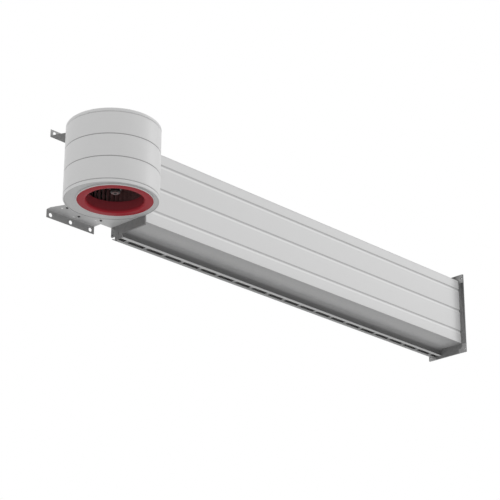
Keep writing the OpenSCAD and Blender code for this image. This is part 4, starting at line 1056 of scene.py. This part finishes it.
# %% Bottom plate and nozzle wall
bend_r, nozzle_z, front_y, flat_y = 25.0, -82.0, 205.0, (100.0, 135.0, 160.0)
bend_z = duct_z0 - bend_r


def bottom_outline():
    """Flat sheet, a quarter bend of inner radius 25 about (180, -57), and the nozzle wall."""
    a = np.radians(np.linspace(90, 0, 17))[:, None]
    bend = np.hstack([np.cos(a), np.sin(a)])
    centre = np.array([front_y - bend_r, bend_z])
    over = centre + (bend_r + sheet) * bend
    under = (centre + bend_r * bend)[::-1]
    flat = np.array([(y, duct_z0) for y in flat_y])
    return np.vstack([[(panel_y + broken_edge, duct_z0 + sheet)], flat + (0, sheet), over,
                      [(front_y + sheet, nozzle_z + sheet), (front_y, nozzle_z + sheet)],
                      under, flat[::-1],
                      [(panel_y + broken_edge, duct_z0), (panel_y, duct_z0 + broken_edge),
                       (panel_y, duct_z0 + sheet - broken_edge)]])


def bottom_tone(x, y, z):
    """Shade under the front edge that soon fades, and shade that deepens fast down the
    nozzle wall, with the power 0.6 of the way down."""
    flat = np.interp(y, (23, 100, 135, 180), (0.3, 0.06, 0.02, 0.02))
    return flat + 0.94 * np.clip((duct_z0 + 0.1 - z) / 14, 0, 1) ** 0.6


stub = rectangle(front_y, front_y + sheet, nozzle_z + sheet, bend_z, 0.3, 2)
make("bent_bottom_plate", gather(drawn(bottom_outline(), sheet_x0, sheet_x1, 40),
                                 drawn(stub, duct_x0, sheet_x0)),
     toned_zinc, "galvanised_sheet", "duct_bottom_plate", sharp=40, tone=bottom_tone)

# %% [markdown]
# Two lips close the nozzle from below and leave a slot 30 mm wide between
# them. Each is an angle with an upstand, so that it stays straight over three
# metres. Two thin boxes could stand for a lip, but one section drawn along X
# has no joint where they meet. At the near end the rear lip runs on under the
# flange as a flat tongue.

# %% Lips
lip_y0, slot_y0, slot_y1, stand_h = 196.0, 220.0, 250.0, 18.0
tongue_l, tongue_w = 22.0, 12.0


def lip_outline(y0, y1, stand_y):
    """A strip from y0 to y1 at the nozzle's foot, with an upstand whose front is at stand_y."""
    z0, z1, z2 = nozzle_z, nozzle_z + sheet, nozzle_z + stand_h
    return soften([(y0, z0), (y1, z0), (y1, z1), (stand_y + sheet, z1), (stand_y + sheet, z2),
                   (stand_y, z2), (stand_y, z1), (y0, z1)], 0.5, 3)


front_stand, rear_stand = front_y + sheet, rear_y - 2 * sheet
make("front_lip_angle", drawn(lip_outline(lip_y0, slot_y0, front_stand), duct_x0, sheet_x1),
     galvanised, "galvanised_sheet", "nozzle_front_lip")
tongue = plate(rectangle(duct_x0 - tongue_l, sheet_x0, rear_y - tongue_w, rear_y))
# The rear lip gets its own darker copy of the zinc, which is painted shade.
make("rear_lip_angle", gather(drawn(lip_outline(slot_y1, rear_y, rear_stand), duct_x0, sheet_x1),
                              lay(tongue, (0, 0, nozzle_z), *flat_up)),
     shaded_rear_zinc, "galvanised_sheet", "nozzle_rear_lip")

# %% [markdown]
# Flat bridges hold the lips apart every 150 mm. An Array modifier could
# repeat one bar, but here the points themselves are copied, so there is
# nothing to apply. The 20 bars are two pieces of ten, because the CAD model
# has a node for the near ones and a node for the far ones.

# %% Bridges
bar_half, bar_x0, bar_step = 12.5, 337.0, 150.0
bar = plate(rectangle(-bar_half, bar_half, front_stand + sheet, rear_stand, 1, 3), cut=0.5)
# The bars get the darker copy of the zinc, which is painted shade.
for label, numbers in (("near", range(10)), ("far", range(10, 20))):
    bars = [lay(bar, (bar_x0 + bar_step * k, 0, nozzle_z + sheet), *flat_up) for k in numbers]
    make(f"{label}_bridge_bars", gather(*bars), shaded_zinc, "galvanised_sheet",
         f"nozzle_bridges_{label}")

# %% [markdown]
# The fan wheel turns about the vertical axis behind the red ring. Its 44
# blades are strips of sheet rolled to a slight curve and set between a flat
# front ring and a dished back plate, which brings the drive down to the hub
# near the inlet. The blades lean into the turn, which suits a fan that has to
# push air down a long duct. One blade is worked out and laid 44 times.

# %% Blades
fan_r, blade_in, blade_z0, blade_z1 = 215.0, 177.0, 47.0, 285.0
blade_half, blade_count = 0.75, 44


def blade_outline(steps=9):
    """Middle line r = 177 + 36 s, angle -(9 s + 3 sin 180 s) degrees, set off by half the
    sheet to either side."""
    s = np.linspace(0, 1, steps)
    r = blade_in + s * (fan_r - sheet - blade_in)
    a = -np.radians(9 * s + 3 * np.sin(np.pi * s))
    mid = np.stack([r * np.cos(a), r * np.sin(a)], -1)
    off = blade_half * np.stack([-np.sin(a), np.cos(a)], -1)
    return np.vstack([mid - off, (mid + off)[::-1]])


one_blade = drawn(soften(blade_outline(), 0.4, 2), blade_z0, blade_z1)
blades = [lay(one_blade, (*fan_axis, 0), (0, 0, 1), (math.cos(t), math.sin(t), 0),
              (-math.sin(t), math.cos(t), 0))
          for t in np.radians(np.arange(blade_count) * 360 / blade_count)]
make("curved_blades", gather(*blades), fan_sheet, "fan_sheet", "impeller_blades", body="rotor")

# %% [markdown]
# The rest of the wheel is round, so each piece is a section turned about the
# fan's axis: the dished back plate, the flat front ring, the cast hub with
# its flange, and the washer that shows through the inlet.

# %% Back plate, front ring, hub and washer
hub_r, hub_bore, hub_z0, hub_z1 = 28.0, 12.1, 43.0, 115.0
hub_flange_r, hub_flange_z0, hub_flange_z1 = 45.0, 74.0, 80.0
dish_r, eye_r = 140.0, 172.0
washer_r, washer_bore, washer_z0, washer_z1 = 21.5, 5.1, 38.0, 42.7
back = soften([(hub_r + fit_gap, hub_flange_z1), (hub_flange_r, hub_flange_z1),
               (dish_r, blade_z1), (fan_r, blade_z1), (fan_r, blade_z1 + sheet),
               (dish_r - sheet, blade_z1 + sheet), (hub_flange_r - sheet, hub_flange_z1 + sheet),
               (hub_r + fit_gap, hub_flange_z1 + sheet)], [0.3, 6, 9, 0.5, 0.5, 9, 6, 0.3], 6)
front_ring = rectangle(eye_r, fan_r, blade_z0 - sheet, blade_z0, 0.6)
hub = soften([(hub_bore, hub_z0), (hub_r, hub_z0), (hub_r, hub_flange_z0),
              (hub_flange_r, hub_flange_z0), (hub_flange_r, hub_flange_z1),
              (hub_r, hub_flange_z1), (hub_r, hub_z1), (hub_bore, hub_z1)],
             [0.8, 1.5, 3, 1, 1, 0.01, 1.5, 0.8], 5)
washer = rectangle(washer_bore, washer_r, washer_z0, washer_z1, [0.4, 1, 0.6, 0.4])
make("dished_back_plate", turned(back, fan_axis, steps=120), fan_sheet, "fan_sheet",
     "impeller_back_plate", body="rotor")
make("rolled_front_ring", turned(front_ring, fan_axis, steps=180), fan_sheet, "fan_sheet",
     "impeller_front_ring", body="rotor")
make("turned_hub", turned(hub, fan_axis, steps=96), black_steel, "motor_casting",
     "impeller_hub", body="rotor")
make("hub_washer_disc", turned(washer, fan_axis, steps=72), hub_steel, "zinc_steel",
     "hub_washer", body="rotor")

# %% [markdown]
# The hub's bolt and the three screws under the base plate have six-sided
# heads. A cylinder with six sides would do from afar, but a plate cut to a
# hexagon brings its own broken edges, and a turned section adds the shank.

# %% Hexagon heads
bolt_flats, bolt_head, bolt_shank_r, bolt_top = 16.0, 4.0, 5.0, 64.0
screw_flats, screw_z, screw_head, screw_shank_r, screw_top = 13.0, 2.0, 3.6, 4.0, 12.0
screw_washer_r, screw_washer_z0, screw_washer_z1 = 8.0, 5.6, 7.0


def hexagon(flats):
    """Six corners, with the given distance between opposite sides."""
    a = np.radians(np.arange(0, 360, 60))[:, None]
    return soften(flats / 2 / math.cos(math.pi / 6) * np.hstack([np.cos(a), np.sin(a)]), 0.5, 3)


def round_bar(r, z0, z1, place, steps):
    """A turned bar or washer from z0 to z1."""
    return turned(rectangle(0, r, z0, z1, 0.4, 3), place, steps=steps)


bolt_hex = lay(plate(hexagon(bolt_flats), (), bolt_head, 0.8),
               (*fan_axis, washer_z0 - bolt_head), *flat_up)
bolt_shank = round_bar(bolt_shank_r, washer_z0 - 1, bolt_top, fan_axis, 32)
make("hub_bolt_head", gather(bolt_hex, bolt_shank), black_steel, "dark_steel", "hub_bolt",
     body="rotor")
screw_hex = plate(hexagon(screw_flats), (), screw_head, 0.7)
heads = [gather(lay(screw_hex, (*place, screw_z), *flat_up),
                round_bar(screw_washer_r, screw_washer_z0, screw_washer_z1, place, 32),
                round_bar(screw_shank_r, screw_washer_z1, screw_top, place, 24))
         for place in screw_at]
make("plate_screw_heads", gather(*heads), black_steel, "dark_steel", "plate_screws")
